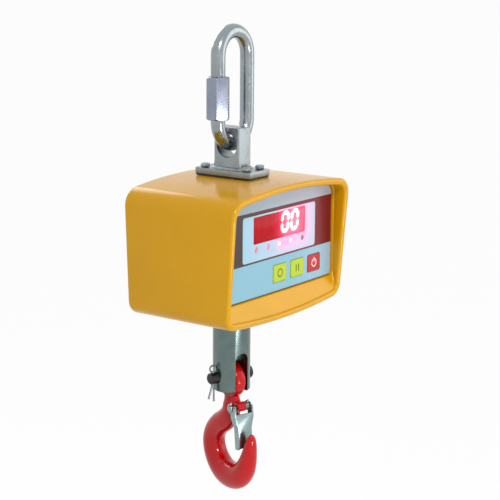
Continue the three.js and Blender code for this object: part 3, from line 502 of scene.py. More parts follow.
def mesh_piece(name, points, faces):
    """A closed mesh with its doubles merged and its faces turned outward."""
    mesh = bpy.data.meshes.new(name)
    mesh.from_pydata([(p[0] * MM, p[1] * MM, p[2] * MM + MID) for p in points], [], faces)
    work = bmesh.new()
    work.from_mesh(mesh)
    bmesh.ops.remove_doubles(work, verts=work.verts, dist=1e-6)
    bmesh.ops.dissolve_degenerate(work, edges=work.edges, dist=1e-7)
    bmesh.ops.recalc_face_normals(work, faces=work.faces)
    work.to_mesh(mesh)
    work.free()
    piece = bpy.data.objects.new(name, mesh)
    bpy.context.scene.collection.objects.link(piece)
    return piece


def lofted(name, rings, closed=False):
    """A skin through rings of points; it closes on itself, or is capped at both ends."""
    count = len(rings[0])
    points = [point for ring in rings for point in ring]
    faces = []
    for band in range(len(rings) if closed else len(rings) - 1):
        near, far = band * count, ((band + 1) % len(rings)) * count
        for i in range(count):
            after = (i + 1) % count
            faces.append((near + i, near + after, far + after, far + i))
    if not closed:
        last = (len(rings) - 1) * count
        faces += [tuple(range(count))[::-1], tuple(range(last, last + count))]
    return mesh_piece(name, points, faces)


AXES = {"x": Vector((1, 0, 0)), "y": Vector((0, 1, 0)), "z": Vector((0, 0, 1))}


def turned(name, profile, axis="z", middle=(0, 0, 0), sides=LATHE_SIDES):
    """A solid turned about an axis from (radius, place along the axis) points."""
    along = AXES[axis]
    u = AXES["y"] if axis == "x" else AXES["x"]
    v = along.cross(u)
    loop = profile[0] == profile[-1]
    rows = profile[:-1] if loop else profile
    rings = []
    for radius, place in rows:
        ring = []
        for i in range(sides):
            angle = 2 * math.pi * i / sides
            ring.append(Vector(middle) + along * place
                        + u * (radius * math.cos(angle)) + v * (radius * math.sin(angle)))
        rings.append(ring)
    return lofted(name, rings, loop)


def bar(axis, radius, start, end, middle=(0, 0, 0), sides=LATHE_SIDES):
    profile = [(0, start), (radius, start), (radius, end), (0, end)]
    return turned("tool", profile, axis, middle, sides)


def block(low, high):
    (x0, y0, z0), (x1, y1, z1) = low, high
    rings = [[(x0, y0, z), (x1, y0, z), (x1, y1, z), (x0, y1, z)] for z in (z0, z1)]
    return lofted("tool", rings)


def swept(name, path, radii, across, sides=40):
    """A bar along a flat path; radii gives its radius in the plane and its radius across it."""
    rings = []
    for i, point in enumerate(path):
        along = (path[min(i + 1, len(path) - 1)] - path[max(i - 1, 0)]).normalized()
        flat = across.cross(along).normalized()
        a, b = radii(i)
        rings.append([point + flat * (a * math.cos(t)) + across * (b * math.sin(t))
                      for t in (2 * math.pi * k / sides for k in range(sides))])
    return lofted(name, rings)


def arc(middle, radius, start, end, steps, u, v):
    angles = (start + (end - start) * i / steps for i in range(steps + 1))
    return [middle + u * (radius * math.cos(t)) + v * (radius * math.sin(t)) for t in angles]


def rounded(width, height, radius, middle=(0, 0), steps=8):
    """The outline of a rounded rectangle, anticlockwise."""
    points = []
    for sx, sz, start in ((1, -1, -90), (1, 1, 0), (-1, 1, 90), (-1, -1, 180)):
        for i in range(steps + 1):
            angle = math.radians(start + 90 * i / steps)
            points.append((middle[0] + sx * (width / 2 - radius) + radius * math.cos(angle),
                           middle[1] + sz * (height / 2 - radius) + radius * math.sin(angle)))
    return points


def upright(points, y0, y1, name="tool"):
    """A flat shape drawn in X and Z, with its thickness along Y."""
    return lofted(name, [[(x, y, z) for x, z in points] for y in (y0, y1)])


def level(points, z0, z1, name="tool"):
    """A flat shape drawn in X and Y, with its thickness along Z."""
    return lofted(name, [[(x, y, z) for x, y in points] for z in (z0, z1)])


def outline(o, grow=0.0, turns=14, spans=36):
    """The outline of the housing or the panel, grown outward, as (x, z) points."""
    widening = (o.half_top - o.half_bottom) / (o.top - o.bottom)

    def corner(sign, edge, rise, radius):
        radius = max(radius + grow, 1.2)
        edge += sign * grow
        half = o.half_bottom + widening * (edge - sign * radius - o.bottom) + grow
        slope = math.atan(2 * rise / half)
        reach = half - radius + radius * math.sin(slope)
        z = edge - sign * (rise * (reach / half) ** 2 + radius * math.cos(slope))
        arc_points = []
        for i in range(turns + 1):
            angle = (math.pi / 2 - slope) * i / turns
            arc_points.append((half - radius + radius * math.cos(angle),
                               z + sign * radius * math.sin(angle)))
        places = [reach * (1 - 2 * (i + 1) / (spans + 1)) for i in range(spans)]
        return arc_points, [(x, edge - sign * rise * (x / half) ** 2) for x in places]

    high, top = corner(1, o.top, o.top_rise, o.top_radius)
    low, base = corner(-1, o.bottom, o.bottom_rise, o.bottom_radius)
    mirrored = [[(-x, z) for x, z in points] for points in (high, low, base)]
    return high + top + mirrored[0][::-1] + mirrored[1] + mirrored[2] + low[::-1]


def hexagon(name, flats, z0, z1, bevel, middle=(0, 0)):
    """A hexagonal prism along Z with its corners turned off at both ends."""
    corner, face = flats / math.sqrt(3), flats / 2
    six = [(middle[0] + corner * math.cos(math.radians(60 * i + 30)),
            middle[1] + corner * math.sin(math.radians(60 * i + 30))) for i in range(6)]
    prism = level(six, z0, z1, name)
    cone = turned("tool", [(0, z0), (face - 0.3, z0), (corner + 0.05, z0 + bevel),
                           (corner + 0.05, z1 - bevel), (face - 0.3, z1), (0, z1)],
                  middle=(*middle, 0))
    return carved(prism, cone, how="INTERSECT")


# Work on finished meshes

def applied(piece):
    """The piece with its modifiers made part of its mesh."""
    graph = bpy.context.evaluated_depsgraph_get()
    made = bpy.data.meshes.new_from_object(piece.evaluated_get(graph))
    piece.modifiers.clear()
    piece.data = made
    return piece


def carved(piece, *tools, how="DIFFERENCE"):
    """The piece with each tool cut off it, joined to it, or kept in common."""
    for tool in tools:
        cut = piece.modifiers.new("cut", "BOOLEAN")
        cut.operation, cut.solver, cut.object = how, "EXACT", tool
        applied(piece)
        bpy.data.objects.remove(tool)
    return piece


def bevelled(piece, width, segments=3, angle=32):
    """The piece with its sharp edges rounded."""
    work = bmesh.new()
    work.from_mesh(piece.data)
    bmesh.ops.remove_doubles(work, verts=work.verts, dist=2e-6)
    bmesh.ops.dissolve_limit(
        work, angle_limit=math.radians(0.4), verts=work.verts, edges=work.edges)
    work.to_mesh(piece.data)
    work.free()
    edge = piece.modifiers.new("edges", "BEVEL")
    edge.width, edge.segments = width * MM, segments
    edge.limit_method, edge.angle_limit = "ANGLE", math.radians(angle)
    edge.harden_normals = False
    return applied(piece)


def joined(name, *parts):
    """Several separate bodies as one object."""
    work = bmesh.new()
    for part in parts:
        work.from_mesh(part.data)
    mesh = bpy.data.meshes.new(name)
    work.to_mesh(mesh)
    work.free()
    for part in parts:
        bpy.data.objects.remove(part)
    piece = bpy.data.objects.new(name, mesh)
    bpy.context.scene.collection.objects.link(piece)
    return piece


def placed(piece, turn=0.0, matrix=None):
    """The piece's mesh turned about the load line, or moved by a matrix."""
    piece.data.transform(matrix if matrix is not None else Matrix.Rotation(turn, 4, "Z"))
    return piece


def settled(piece, material, body, slot, *nodes, smooth=35):
    """The last touches: shading, material, body and the nodes that the piece stands for. The slot
    is not used.
    """
    piece.data.shade_smooth()
    piece.data.set_sharp_from_angle(angle=math.radians(smooth))
    piece.data.materials.clear()
    piece.data.materials.append(material)
    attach(piece, body)
    if nodes:
        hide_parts(*nodes)
    return piece


def dress(material, *nodes):
    """A material for nodes whose shape stays as it is."""
    for node in nodes:
        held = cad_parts[node]
        held.data.materials.clear()
        held.data.materials.append(material)


# Geometry Nodes trees

def node_group(name, inputs):
    """An empty Geometry Nodes tree with named inputs, as the tree, its net and its input node."""
    tree = bpy.data.node_groups.new(name, "GeometryNodeTree")
    tree.interface.new_socket("Geometry", in_out="INPUT", socket_type="NodeSocketGeometry")
    for label, kind in inputs.items():
        tree.interface.new_socket(label, in_out="INPUT", socket_type=kind)
    tree.interface.new_socket("Geometry", in_out="OUTPUT", socket_type="NodeSocketGeometry")
    net = Net(tree)
    return tree, net, net.node("NodeGroupInput")


def grown(piece, tree, values):
    """The piece's mesh replaced by what the tree makes of it with the named values."""
    maker = piece.modifiers.new("maker", "NODES")
    maker.node_group = tree
    for item in tree.interface.items_tree:
        if item.in_out == "INPUT" and item.name in values:
            maker[item.identifier] = values[item.name]
    return applied(piece)


def copies_tree():
    """Copies of a template on each point of the mesh."""
    tree, net, given = node_group("copies_on_points", {
        "Template": "NodeSocketObject", "Material": "NodeSocketMaterial"})
    template = net.node("GeometryNodeObjectInfo", {"transform_space": "ORIGINAL"},
                        {"Object": given.outputs["Template"]})
    spread = net.node("GeometryNodeInstanceOnPoints", {}, {
        "Points": given.outputs["Geometry"], "Instance": template.outputs["Geometry"]})
    finish_tree(net, given, spread.outputs[0])
    return tree


def row_tree():
    """Evenly spaced copies of the mesh in a row."""
    tree, net, given = node_group("row_of_copies", {
        "Count": "NodeSocketInt", "Pitch": "NodeSocketFloat", "Material": "NodeSocketMaterial"})
    step = net.node("ShaderNodeCombineXYZ", {}, {"X": given.outputs["Pitch"]})
    line = net.node("GeometryNodeMeshLine", {}, {"Count": given.outputs["Count"],
                                                 "Offset": step.outputs[0]})
    spread = net.node("GeometryNodeInstanceOnPoints", {}, {
        "Points": line.outputs[0], "Instance": given.outputs["Geometry"]})
    finish_tree(net, given, spread.outputs[0])
    return tree


def coil_tree():
    """A wire coiled along X."""
    tree, net, given = node_group("wire_coil", {
        "Turns": "NodeSocketFloat", "Radius": "NodeSocketFloat", "Length": "NodeSocketFloat",
        "Wire": "NodeSocketFloat", "Material": "NodeSocketMaterial"})
    spiral = net.node("GeometryNodeCurveSpiral", {}, {
        "Resolution": 40, "Rotations": given.outputs["Turns"],
        "Start Radius": given.outputs["Radius"], "End Radius": given.outputs["Radius"],
        "Height": given.outputs["Length"]})
    laid = net.node("GeometryNodeTransform", {}, {
        0: spiral.outputs[0], "Rotation": (0, math.pi / 2, 0)})
    circle = net.node("GeometryNodeCurvePrimitiveCircle", {"mode": "RADIUS"}, {
        "Resolution": 14, "Radius": given.outputs["Wire"]})
    tube = net.node("GeometryNodeCurveToMesh", {}, {
        "Curve": laid.outputs[0], "Profile Curve": circle.outputs[0], "Fill Caps": True})
    finish_tree(net, given, tube.outputs[0])
    return tree


def finish_tree(net, given, geometry):
    """Realizes the instances, sets the material and ends the tree."""
    solid = net.node("GeometryNodeRealizeInstances", {}, {0: geometry})
    coated = net.node("GeometryNodeSetMaterial", {}, {
        "Geometry": solid.outputs[0], "Material": given.outputs["Material"]})
    net.node("NodeGroupOutput", {}, {0: coated.outputs[0]})


def point_piece(name, points):
    """A mesh of loose points, given in metres in the frame."""
    mesh = bpy.data.meshes.new(name)
    mesh.from_pydata([tuple(point) for point in points], [], [])
    piece = bpy.data.objects.new(name, mesh)
    bpy.context.scene.collection.objects.link(piece)
    return piece


def copied_to(name, template, points, material):
    """One mesh of copies of a template, whose own mesh is drawn at the frame's origin."""
    piece = grown(point_piece(name, points), copies_tree(), {
        "Template": template, "Material": material})
    bpy.data.objects.remove(template)
    return piece


def to_origin(piece):
    """Undoes the height that every drawn mesh is given, for templates."""
    return placed(piece, matrix=Matrix.Translation((0, 0, -MID)))


# Pieces

def quick_link(s, lug):
    upper = Vector((0, 0, s.crown - s.half))
    bend_rise = s.half - math.sqrt((s.half - s.bar) ** 2 - (lug.width / 2) ** 2)
    foot = lug.hole_height + lug.hole - bend_rise - 2 * GAP
    lower = Vector((0, 0, foot + s.half))
    x, z = AXES["x"], AXES["z"]
    path = [Vector((-s.half, 0, s.open_to)), Vector((-s.half, 0, (s.open_to + upper.z) / 2))]
    path += arc(upper, s.half, math.pi, 0, 40, x, z)
    path += [Vector((s.half, 0, (upper.z + lower.z) / 2))]
    path += arc(lower, s.half, 0, -math.pi, 40, x, z)
    path += [Vector((-s.half, 0, s.open_from))]
    inscribed = s.bar - 0.04
    return bevelled(
        swept("quick_link", path, lambda i: (inscribed, inscribed), AXES["y"], 48), 0.6)


def sleeve_nut(s):
    top = s.sleeve_foot + s.sleeve_length
    nut = hexagon("sleeve_nut", s.sleeve_flats, s.sleeve_foot, top, 1.6, (-s.half, 0))
    carved(nut, bar("z", s.bar + 0.4, s.sleeve_foot - 1, top + 1, (-s.half, 0, 0)))
    return bevelled(nut, 0.45)


def lug(s):
    body = level(rounded(s.width, s.depth, 1.4), s.root - 1, s.top, "lug")
    carved(body, bar("x", s.hole, -30, 30, (0, 0, s.hole_height)))
    bevelled(body, 0.9, 4, 50)
    shaft = turned("tool", [
        (0, 4.6), (11, 4.6), (12, 5.6), (12, 20), (20, 20), (20, s.root), (0, s.root)])
    return carved(body, shaft, how="UNION")


def weld_bead(s, foot):
    """A fillet weld round the lug, laid in overlapping ripples."""
    path = rounded(s.width + 0.9, s.depth + 0.9, 1.2, steps=6)
    points = []
    for i, start in enumerate(path):
        end = path[(i + 1) % len(path)]
        span = math.dist(start, end)
        steps = max(1, round(span / 0.45))
        points += [(start[0] + (end[0] - start[0]) * k / steps,
                    start[1] + (end[1] - start[1]) * k / steps) for k in range(steps)]
    rings, travelled = [], 0.0
    for i, point in enumerate(points):
        after = points[(i + 1) % len(points)]
        before = points[i - 1]
        along = Vector((after[0] - before[0], after[1] - before[1])).normalized()
        out = Vector((along.y, -along.x))
        travelled += math.dist(before, point)
        ripple = 1 - 0.13 * abs(math.sin(math.pi * travelled / 1.9))
        leg = (s.weld - 0.5) * ripple
        section = [(0, 0), (leg, 0), (leg * 0.72, leg * 0.42), (leg * 0.36, leg * 0.78), (0, leg)]
        rings.append([(point[0] + out.x * a, point[1] + out.y * a, foot + b) for a, b in section])
    return lofted("tool", rings, closed=True)


def bolt_places(s):
    return [(i * s.bolt_x, j * s.bolt_y) for i in (-1, 1) for j in (-1, 1)]


def flange(s, foot):
    top = foot + s.flange_thickness
    plate = level(rounded(s.flange_width, s.flange_depth, 2), foot, top, "flange")
    carved(plate, level(rounded(s.width + 0.6, s.depth + 0.6, 1.2), foot - 1, top + 1))
    carved(plate, *[bar("z", BOLT_HOLE, foot - 1, top + 1, (x, y, 0), 48)
                    for x, y in bolt_places(s)])
    bevelled(plate, 0.5)
    return joined("flange", plate, weld_bead(s, top - 0.01))


def hex_bolt(head, height, radius, long):
    """A hexagon bolt with a washer face, drawn with its seat at the frame's origin."""
    crown = bevelled(hexagon("bolt", head * math.sqrt(3), 0.3, height, 0.8), 0.18, 2, 25)
    washer = turned("tool", [(0, 0), (head * 0.86, 0), (head * 0.9, 0.35), (0, 0.35)], sides=48)
    shank = turned("tool", [(0, -long), (radius - 0.4, -long), (radius - 0.05, 0.4 - long),
                            (radius - 0.05, 0.1), (0, 0.1)], sides=48)
    carved(crown, washer, shank, how="UNION")
    return to_origin(crown)


def housing_shell(s, p, lug):
    lean_front, lean_rear = -math.tan(math.radians(4.3)), math.tan(math.radians(1.4))
    cover_y = s.rear - s.cover_depth

    def ring(points, y, lean=0.0):
        return [(x, y + z * lean, z) for x, z in points]

    def bead(y, sign, lean, steps=14):
        rows = []
        for i in range(steps + 1):
            angle = math.pi * i / steps
            rows.append(ring(outline(s, -s.lip * (1 - math.cos(angle))),
                             y + sign * s.lip * math.sin(angle), lean))
        return rows

    inset = 2 * s.lip
    seat_front = PANEL_Y + 3.6
    seat_back = seat_front + s.wall
    ledge_back = cover_y - s.wall
    rings = bead(-s.front, -1, lean_front)
    rings += [
        ring(outline(p, 1.9), PANEL_Y - 2.4), ring(outline(p, 1.25), PANEL_Y - 1.9),
        ring(outline(p, 1), PANEL_Y - 1.0), ring(outline(p, 1), seat_front),
        ring(outline(p, -7), seat_front), ring(outline(p, -7), seat_back),
        ring(outline(p, 3), seat_back), ring(outline(p, 3.2), seat_back - s.wall - 1),
        ring(outline(s, -s.wall), -s.front + 5, lean_front),
        ring(outline(s, -s.wall), ledge_back, lean_rear),
        ring(outline(s, -inset - s.ledge), ledge_back, lean_rear),
        ring(outline(s, -inset - s.ledge), cover_y, lean_rear),
        ring(outline(s, -inset), cover_y, lean_rear)]
    rings += bead(s.rear, 1, lean_rear)[::-1]
    shell = lofted("shell", rings, closed=True)
    lug_slot = level(rounded(23, 34, 2), s.top - 20, s.top + 5)
    rod_hole = bar("z", SEAL_NECK + GAP, s.bottom - 5, s.bottom + 12)
    bolts = [bar("z", BOLT_HOLE, s.top - 20, s.top + 5, (x, y, 0), 32)
             for x, y in bolt_places(lug)]
    return carved(shell, lug_slot, rod_hole, *bolts)


def panel_holes(p, y0, y1):
    """Tools for the holes of the window, the keys and the lamps."""
    def opening(width, height, middle):
        return upright(rounded(width + 2 * GAP, height + 2 * GAP, 2, middle), y0, y1)

    tools = [opening(p.window_width, p.window_height, (p.window_x, p.window_z))]
    tools += [opening(p.key_width, p.key_height, (x, p.key_z)) for x in key_places(p)]
    tools += [bar("y", p.lamp_radius + GAP, y0, y1, (x, 0, p.lamp_z), 48)
              for x in lamp_places(p)]
    return tools


def key_places(p):
    return [p.key_first + i * p.key_pitch for i in range(3)]


def lamp_places(p):
    return [p.window_x + (i - 2) * p.lamp_pitch for i in range(5)]


def overlay(p):
    film = upright(outline(p, -0.3), PANEL_Y, PANEL_Y + 0.5, "panel_film")
    return carved(film, *panel_holes(p, PANEL_Y - 1, PANEL_Y + 2))


def window(p):
    shape = rounded(p.window_width, p.window_height, 2, (p.window_x, p.window_z))
    back = rounded(p.window_width + 4.8, p.window_height + 4.8, 3, (p.window_x, p.window_z))
    pane = upright(shape, PANEL_Y - 0.15, PANEL_Y + 4, "window")
    carved(pane, upright(back, PANEL_Y + 3.6, PANEL_Y + 5.1), how="UNION")
    return bevelled(pane, 0.12, 2)


SEGMENTS = {
    "a": (0, 1, True), "g": (0, 0, True), "d": (0, -1, True),
    "f": (-1, 0.5, False), "b": (1, 0.5, False), "e": (-1, -0.5, False), "c": (1, -0.5, False)}


def digit_shape(name, p, centre, lit):
    """Bars of a seven-segment digit, as one mesh in front of its module."""
    half_w, half_h, thick = 5.4, 9.3, 2.2
    y = PANEL_Y + 5.2
    bars = []
    for key in lit:
        sx, sz, lying = SEGMENTS[key]
        mx, mz = sx * half_w, sz * half_h
        reach = (half_w if lying else half_h / 2) - 0.35
        ends = [(-reach, 0), (-reach + thick, -thick), (reach - thick, -thick), (reach, 0),
                (reach - thick, thick), (-reach + thick, thick)]
        shape = [(mx + a, mz + b) if lying else (mx - b, mz + a) for a, b in ends]
        slanted = [(centre + x + z * 0.09, p.window_z + z) for x, z in shape]
        bars.append(upright(slanted, y, y + 0.15))
    return joined(name, *bars)


def digits(p, materials):
    """The lit and unlit segments: three blank digits, then two noughts."""
    unlit = digit_shape("digit_bars_off", p, p.window_x - 2 * p.digit_pitch, "abcdefg")
    lit = digit_shape("digit_bars_on", p, p.window_x + p.digit_pitch, "abcdef")
    for piece, count, material, slot in ((unlit, 3, materials.off, "window_red"),
                                         (lit, 2, materials.on, "led_glow")):
        grown(piece, row_tree(), {
            "Count": count, "Pitch": p.digit_pitch * MM, "Material": material})
        settled(piece, material, "housing", slot)


def lamp_lens(p):
    r = p.lamp_radius - 0.05
    dome = [(0, 13.8), (r, 13.8), (r, 0.55), (r - 0.25, 0.2), (r - 0.8, 0.02), (0, -0.1)]
    return to_origin(turned("lamp", dome, "y", sides=40))


def membrane_key(name, p, x):
    cap = upright(rounded(p.key_width - 0.1, p.key_height - 0.1, 2.4, (x, p.key_z)),
                  PANEL_Y - 0.78, PANEL_Y + 3.8, name)
    bevelled(cap, 0.45, 4, 50)
    skirt = upright(rounded(p.key_width + 3, p.key_height + 3, 2, (x, p.key_z)),
                    PANEL_Y + 3.6, PANEL_Y + 4.8)
    return carved(cap, skirt, how="UNION")


def rear_matrix(s):
    """Where the rear cover's own frame lies: at the ledge, leaning with the rear lip."""
    cover_y = (s.rear - s.cover_depth) * MM
    return (Matrix.Translation((0, cover_y, MID)) @ Matrix.Rotation(math.radians(-1.4), 4, "X")
            @ Matrix.Translation((0, 0, -MID)))


def rear_cover(s):
    plate = upright(outline(s, -2 * s.lip - 0.6), COVER_FACE, COVER_TOP, "rear_plate")
    holes = [bar("y", 2.3, 0, 9, (x, 0, z), 32) for x, z in SCREW_PLACES]
    carved(plate, bar("y", SOCKET_HOLE, 0, 9, SOCKET_PLACE), *holes)
    return placed(bevelled(plate, 0.5), matrix=rear_matrix(s))


def pan_screw():
    """A slotted pan-head screw, its seat at the frame's origin and its head along +Y."""
    head = turned("screw", [
        (0, -11.7), (1.6, -11.7), (1.9, -11.2), (1.9, 0), (3.75, 0), (3.75, 0.8),
        (3.3, 1.7), (2.2, 2.25), (0, 2.38)], "y", sides=48)
    carved(head, block((-4, 1.35, -0.5), (4, 4, 0.5)))
    return to_origin(head)


def charging_socket(s):
    seat = COVER_TOP + 0.3
    shell = turned("charging_port", [
        (0, seat - 16), (7, seat - 16), (7, seat), (10, seat), (10, seat + 1.2), (9.6, seat + 1.6),
        (5.5, seat + 1.6), (4.5, seat - 9), (0, seat - 9)], "y", SOCKET_PLACE)
    carved(shell, bar("y", 1.1, seat - 10, seat - 2, SOCKET_PLACE, 32), how="UNION")
    return placed(shell, matrix=rear_matrix(s))


def dust_cap(s):
    seat = COVER_TOP + 2.2
    cap = turned("dust_cap", [
        (0, seat - 1), (2, seat - 1), (2, seat - 5), (4.2, seat - 5), (4.2, seat), (9.4, seat),
        (9.4, seat + 0.9), (8.8, seat + 1.3), (8, seat + 2), (7.4, seat + 2.2), (0, seat + 2.2)],
        "y", SOCKET_PLACE)
    rim, half, notches = 9.3, 0.35, []
    for i in range(20):
        angle = 2 * math.pi * i / 20
        x = SOCKET_PLACE[0] + rim * math.cos(angle)
        z = SOCKET_PLACE[2] + rim * math.sin(angle)
        notches.append(block((x - half, seat - 1, z - half), (x + half, seat + 1.1, z + half)))
    carved(cap, joined("tool", *notches))
    return placed(cap, matrix=rear_matrix(s))


def rod_seal(s):
    foot = s.bottom - GAP
    top = s.bottom + s.wall + GAP
    return turned("seal", [
        (SEAL_BORE, foot - 2.6), (SEAL_BORE + 0.5, foot - 3), (SEAL_LIP - 0.8, foot - 3),
        (SEAL_LIP, foot - 2.2), (SEAL_LIP, foot), (SEAL_NECK, foot), (SEAL_NECK, top + 0.6),
        (SEAL_LIP, top + 0.6), (SEAL_LIP - 1, top + 3), (SEAL_BORE, top + 3),
        (SEAL_BORE, foot - 2.6)])


def slotted_rod(h):
    rod = turned("rod", [
        (0, h.rod_end), (h.rod - 1.6, h.rod_end), (h.rod - 1.1, h.rod_end + 0.15),
        (h.rod - 0.15, h.rod_end + 1.1), (h.rod, h.rod_end + 1.6), (h.rod, ROD_TOP - 1),
        (h.rod - 1, ROD_TOP), (ROD_NECK, ROD_TOP), (ROD_NECK, -11.6), (ROD_NECK - 1, -10.6),
        (0, -10.6)], sides=128)
    half = h.slot / 2
    slot = block((-half, -h.rod - 1, h.rod_end - 1), (half, h.rod + 1, h.slot_top - half))
    arch = bar("y", half, -h.rod - 1, h.rod + 1, (0, 0, h.slot_top - half))
    carved(slot, arch, how="UNION")
    bore = bar("x", h.pin + GAP, -h.rod - 1, h.rod + 1, (0, 0, h.pin_z))
    nut_pin_hole = bar("x", 2.3, -40, 40, (0, 0, -20.4), 32)
    return placed(bevelled(carved(rod, slot, bore, nut_pin_hole), 0.45, 3, 40), TURN)


def cross_pin(h):
    face, tail = h.rod + GAP, -28.4
    pin = turned("cross_pin", [
        (0, tail), (h.pin - 1, tail), (h.pin, tail + 1), (h.pin, face), (h.pin_head - 0.3, face),
        (h.pin_head, face + 0.3), (h.pin_head, face + 2.8), (h.pin_head - 0.3, face + 3.4),
        (h.pin_head - 1, face + 3.8), (0, face + 3.8)], "x", (0, 0, h.pin_z), 64)
    hole = bar("z", SPLIT_PIN_HOLE, h.pin_z - 12, h.pin_z + 12, (SPLIT_PIN_X, 0, 0), 32)
    return placed(carved(pin, hole), TURN)


def split_pin(h):
    """A cotter: an eye of wire and two legs, one bent away."""
    wire, eye, up, long = 1.05, 3.4, 10.6, 25.5
    y, z = AXES["y"], AXES["z"]
    base = Vector((SPLIT_PIN_X, 0, h.pin_z))
    path = [base + Vector((0, 0, up)) + z * (eye * math.sin(t)) + AXES["x"] * (eye * math.cos(t))
            for t in (math.radians(-80 + 340 * i / 40) for i in range(41))]
    loop = swept("split_pin_wire", path, lambda i: (wire, wire), y, 16)
    legs = []
    for side in (-1, 1):
        stops = [(0.8, up - eye + 0.4), (0.85, 4), (0.8, 0), (0.9, -h.pin - 1), (1.3, -h.pin - 4)]
        points = [base + Vector((side * wire * a, 0, b)) for a, b in stops]
        away = wire + (4.2 if side < 0 else 0.5)
        points.append(base + Vector((side * away, 0, -long + (3.5 if side < 0 else 0))))
        legs.append(swept("tool", points, lambda i: (wire, wire), y, 16))
    return placed(carved(loop, *legs, how="UNION"), TURN)


HOOK_STATIONS = [
    (0, -13.5, 9.5, 6.6), (1, -19, 10, 7), (1.5, -27, 10.6, 9.2), (-1, -37, 11.2, 9.8),
    (-9, -47, 12.2, 11), (-20, -55, 12.4, 11.6), (-29, -65, 12.4, 12), (-32.5, -76, 12.6, 12),
    (-30, -88, 13, 12.2), (-22, -99, 13.8, 12.6), (-10.5, -106, 14.6, 13), (3, -107.5, 15, 13),
    (15, -104, 14, 12.6), (24.5, -95.5, 12, 11.6), (30.5, -84, 9.6, 10), (34, -72, 7.4, 8.2),
    (36, -62, 5.6, 6.6), (37.2, -55.5, 3.6, 4.4), (37.8, -52.4, 1.6, 2)]


def spline(points, share):
    """A centripetal curve through points, share running evenly from one to the next."""
    place = share * (len(points) - 1)
    i = min(int(place), len(points) - 2)
    w = place - i
    p1, p2 = points[i], points[i + 1]
    p0 = points[i - 1] if i > 0 else 2 * p1 - p2
    p3 = points[i + 2] if i + 2 < len(points) else 2 * p2 - p1
    d0, d1, d2 = (max((b - a).length, 1e-6) ** 0.5 for a, b in ((p0, p1), (p1, p2), (p2, p3)))
    t1 = ((p1 - p0) / d0 - (p2 - p0) / (d0 + d1) + (p2 - p1) / d1) * d1
    t2 = ((p2 - p1) / d1 - (p3 - p1) / (d1 + d2) + (p3 - p2) / d2) * d1
    return (p1 + t1 * w + (-3 * p1 + 3 * p2 - 2 * t1 - t2) * w ** 2
            + (2 * p1 - 2 * p2 + t1 + t2) * w ** 3)


def forged_hook(h):
    eye_z = h.pin_z + h.pin + GAP - h.eye_inner
    middles = [Vector((0, -reach, eye_z + drop)) for reach, drop, _, _ in HOOK_STATIONS]
    radii = [Vector((a, b, 12.0 * i)) for i, (_, _, a, b) in enumerate(HOOK_STATIONS)]
    steps = 110
    path = [spline(middles, i / steps) for i in range(steps + 1)]
    sizes = [spline(radii, i / steps) for i in range(steps + 1)]
    stem = swept("hook_forging", path, lambda i: (sizes[i].x, sizes[i].y), AXES["x"], 44)
    middle, a, b = (h.eye_inner + h.eye_outer) / 2, (h.eye_outer - h.eye_inner) / 2, h.eye_thick / 2
    section = []
    for i in range(28):
        t = 2 * math.pi * i / 28
        soft = [math.copysign(abs(v) ** 0.7, v) for v in (math.cos(t), math.sin(t))]
        section.append((middle + a * soft[0], b * soft[1]))
    section.append(section[0])
    eye = turned("tool", section, "x", (0, 0, eye_z))
    hook = joined("hook_forging", stem, eye)
    merge = hook.modifiers.new("forge", "REMESH")
    merge.mode, merge.voxel_size = "VOXEL", 0.85 * MM
    soften = hook.modifiers.new("soften", "SMOOTH")
    soften.factor, soften.iterations = 0.5, 5
    applied(hook)
    place = (0, h.latch_y, h.latch_z)
    carved(hook, bar("x", h.eye_inner, -20, 20, (0, 0, eye_z)))
    carved(hook, bar("x", 6.6, -16, -4.9, place), bar("x", 6.6, 4.9, 16, place))
    carved(hook, bar("x", 5.35, -4.6, 4.6, place), how="UNION")
    return placed(carved(hook, bar("x", RIVET_BORE, -16, 16, place, 48)), TURN)


def latch_matrix(h):
    """The latch's own frame: at its rivet, tipped until its tail meets the hook's point."""
    pivot = Matrix.Translation((0, h.latch_y * MM, h.latch_z * MM + MID))
    return (Matrix.Rotation(TURN, 4, "Z") @ pivot @ Matrix.Rotation(LATCH_TILT, 4, "X")
            @ Matrix.Translation((0, 0, -MID)))


def safety_latch(h):
    ear_out, low_out, web, drop, ear, sheet = 12, 8.6, 8.2, 45, 5.4, h.latch_sheet

    def rings(inset):
        back = ear + 9 if inset else 0
        end = 2 if inset else 0
        rows = []
        for z, half in ((-drop - end, low_out), (-22, low_out), (-10, ear_out),
                        (ear + 1 + end, ear_out)):
            x, y = half - inset, -web + inset
            rows.append([(x, back, z), (-x, back, z), (-x, y, z), (x, y, z)])
        return rows

    channel = carved(lofted("latch_plate", rings(0)), lofted("tool", rings(sheet)))
    ears = [bar("x", ear, min(a, b), max(a, b), sides=64)
            for a, b in ((-ear_out, sheet - ear_out), (ear_out - sheet, ear_out))]
    carved(channel, *ears, how="UNION")
    throat = block((sheet - ear_out, -web - 1, -6.5), (ear_out - sheet, 0, ear + 3))
    shoulder = block((-ear_out - 1, -web - 1, 1.5), (ear_out + 1, -1, ear + 3))
    toe = bar("x", web + 2, -ear_out - 2, ear_out + 2, (0, 1, web - drop), 64)
    tail = carved(block((-ear_out - 1, -web - 6, -drop - 1), (ear_out + 1, 20, web - drop)), toe)
    carved(channel, throat, shoulder, bar("x", RIVET_BORE, -20, 20, sides=48), tail)
    return placed(bevelled(channel, 0.3, 2, 40), matrix=latch_matrix(h))


def latch_rivet(h):
    half = [(0, -14.3), (2.2, -14.2), (3.4, -13.7), (4.1, -12.9), (4.2, -12.3), (2.5, -12.3)]
    profile = half + [(radius, -place) for radius, place in reversed(half)]
    return placed(turned("rivet", profile, "x", (0, h.latch_y, h.latch_z), 48), TURN)


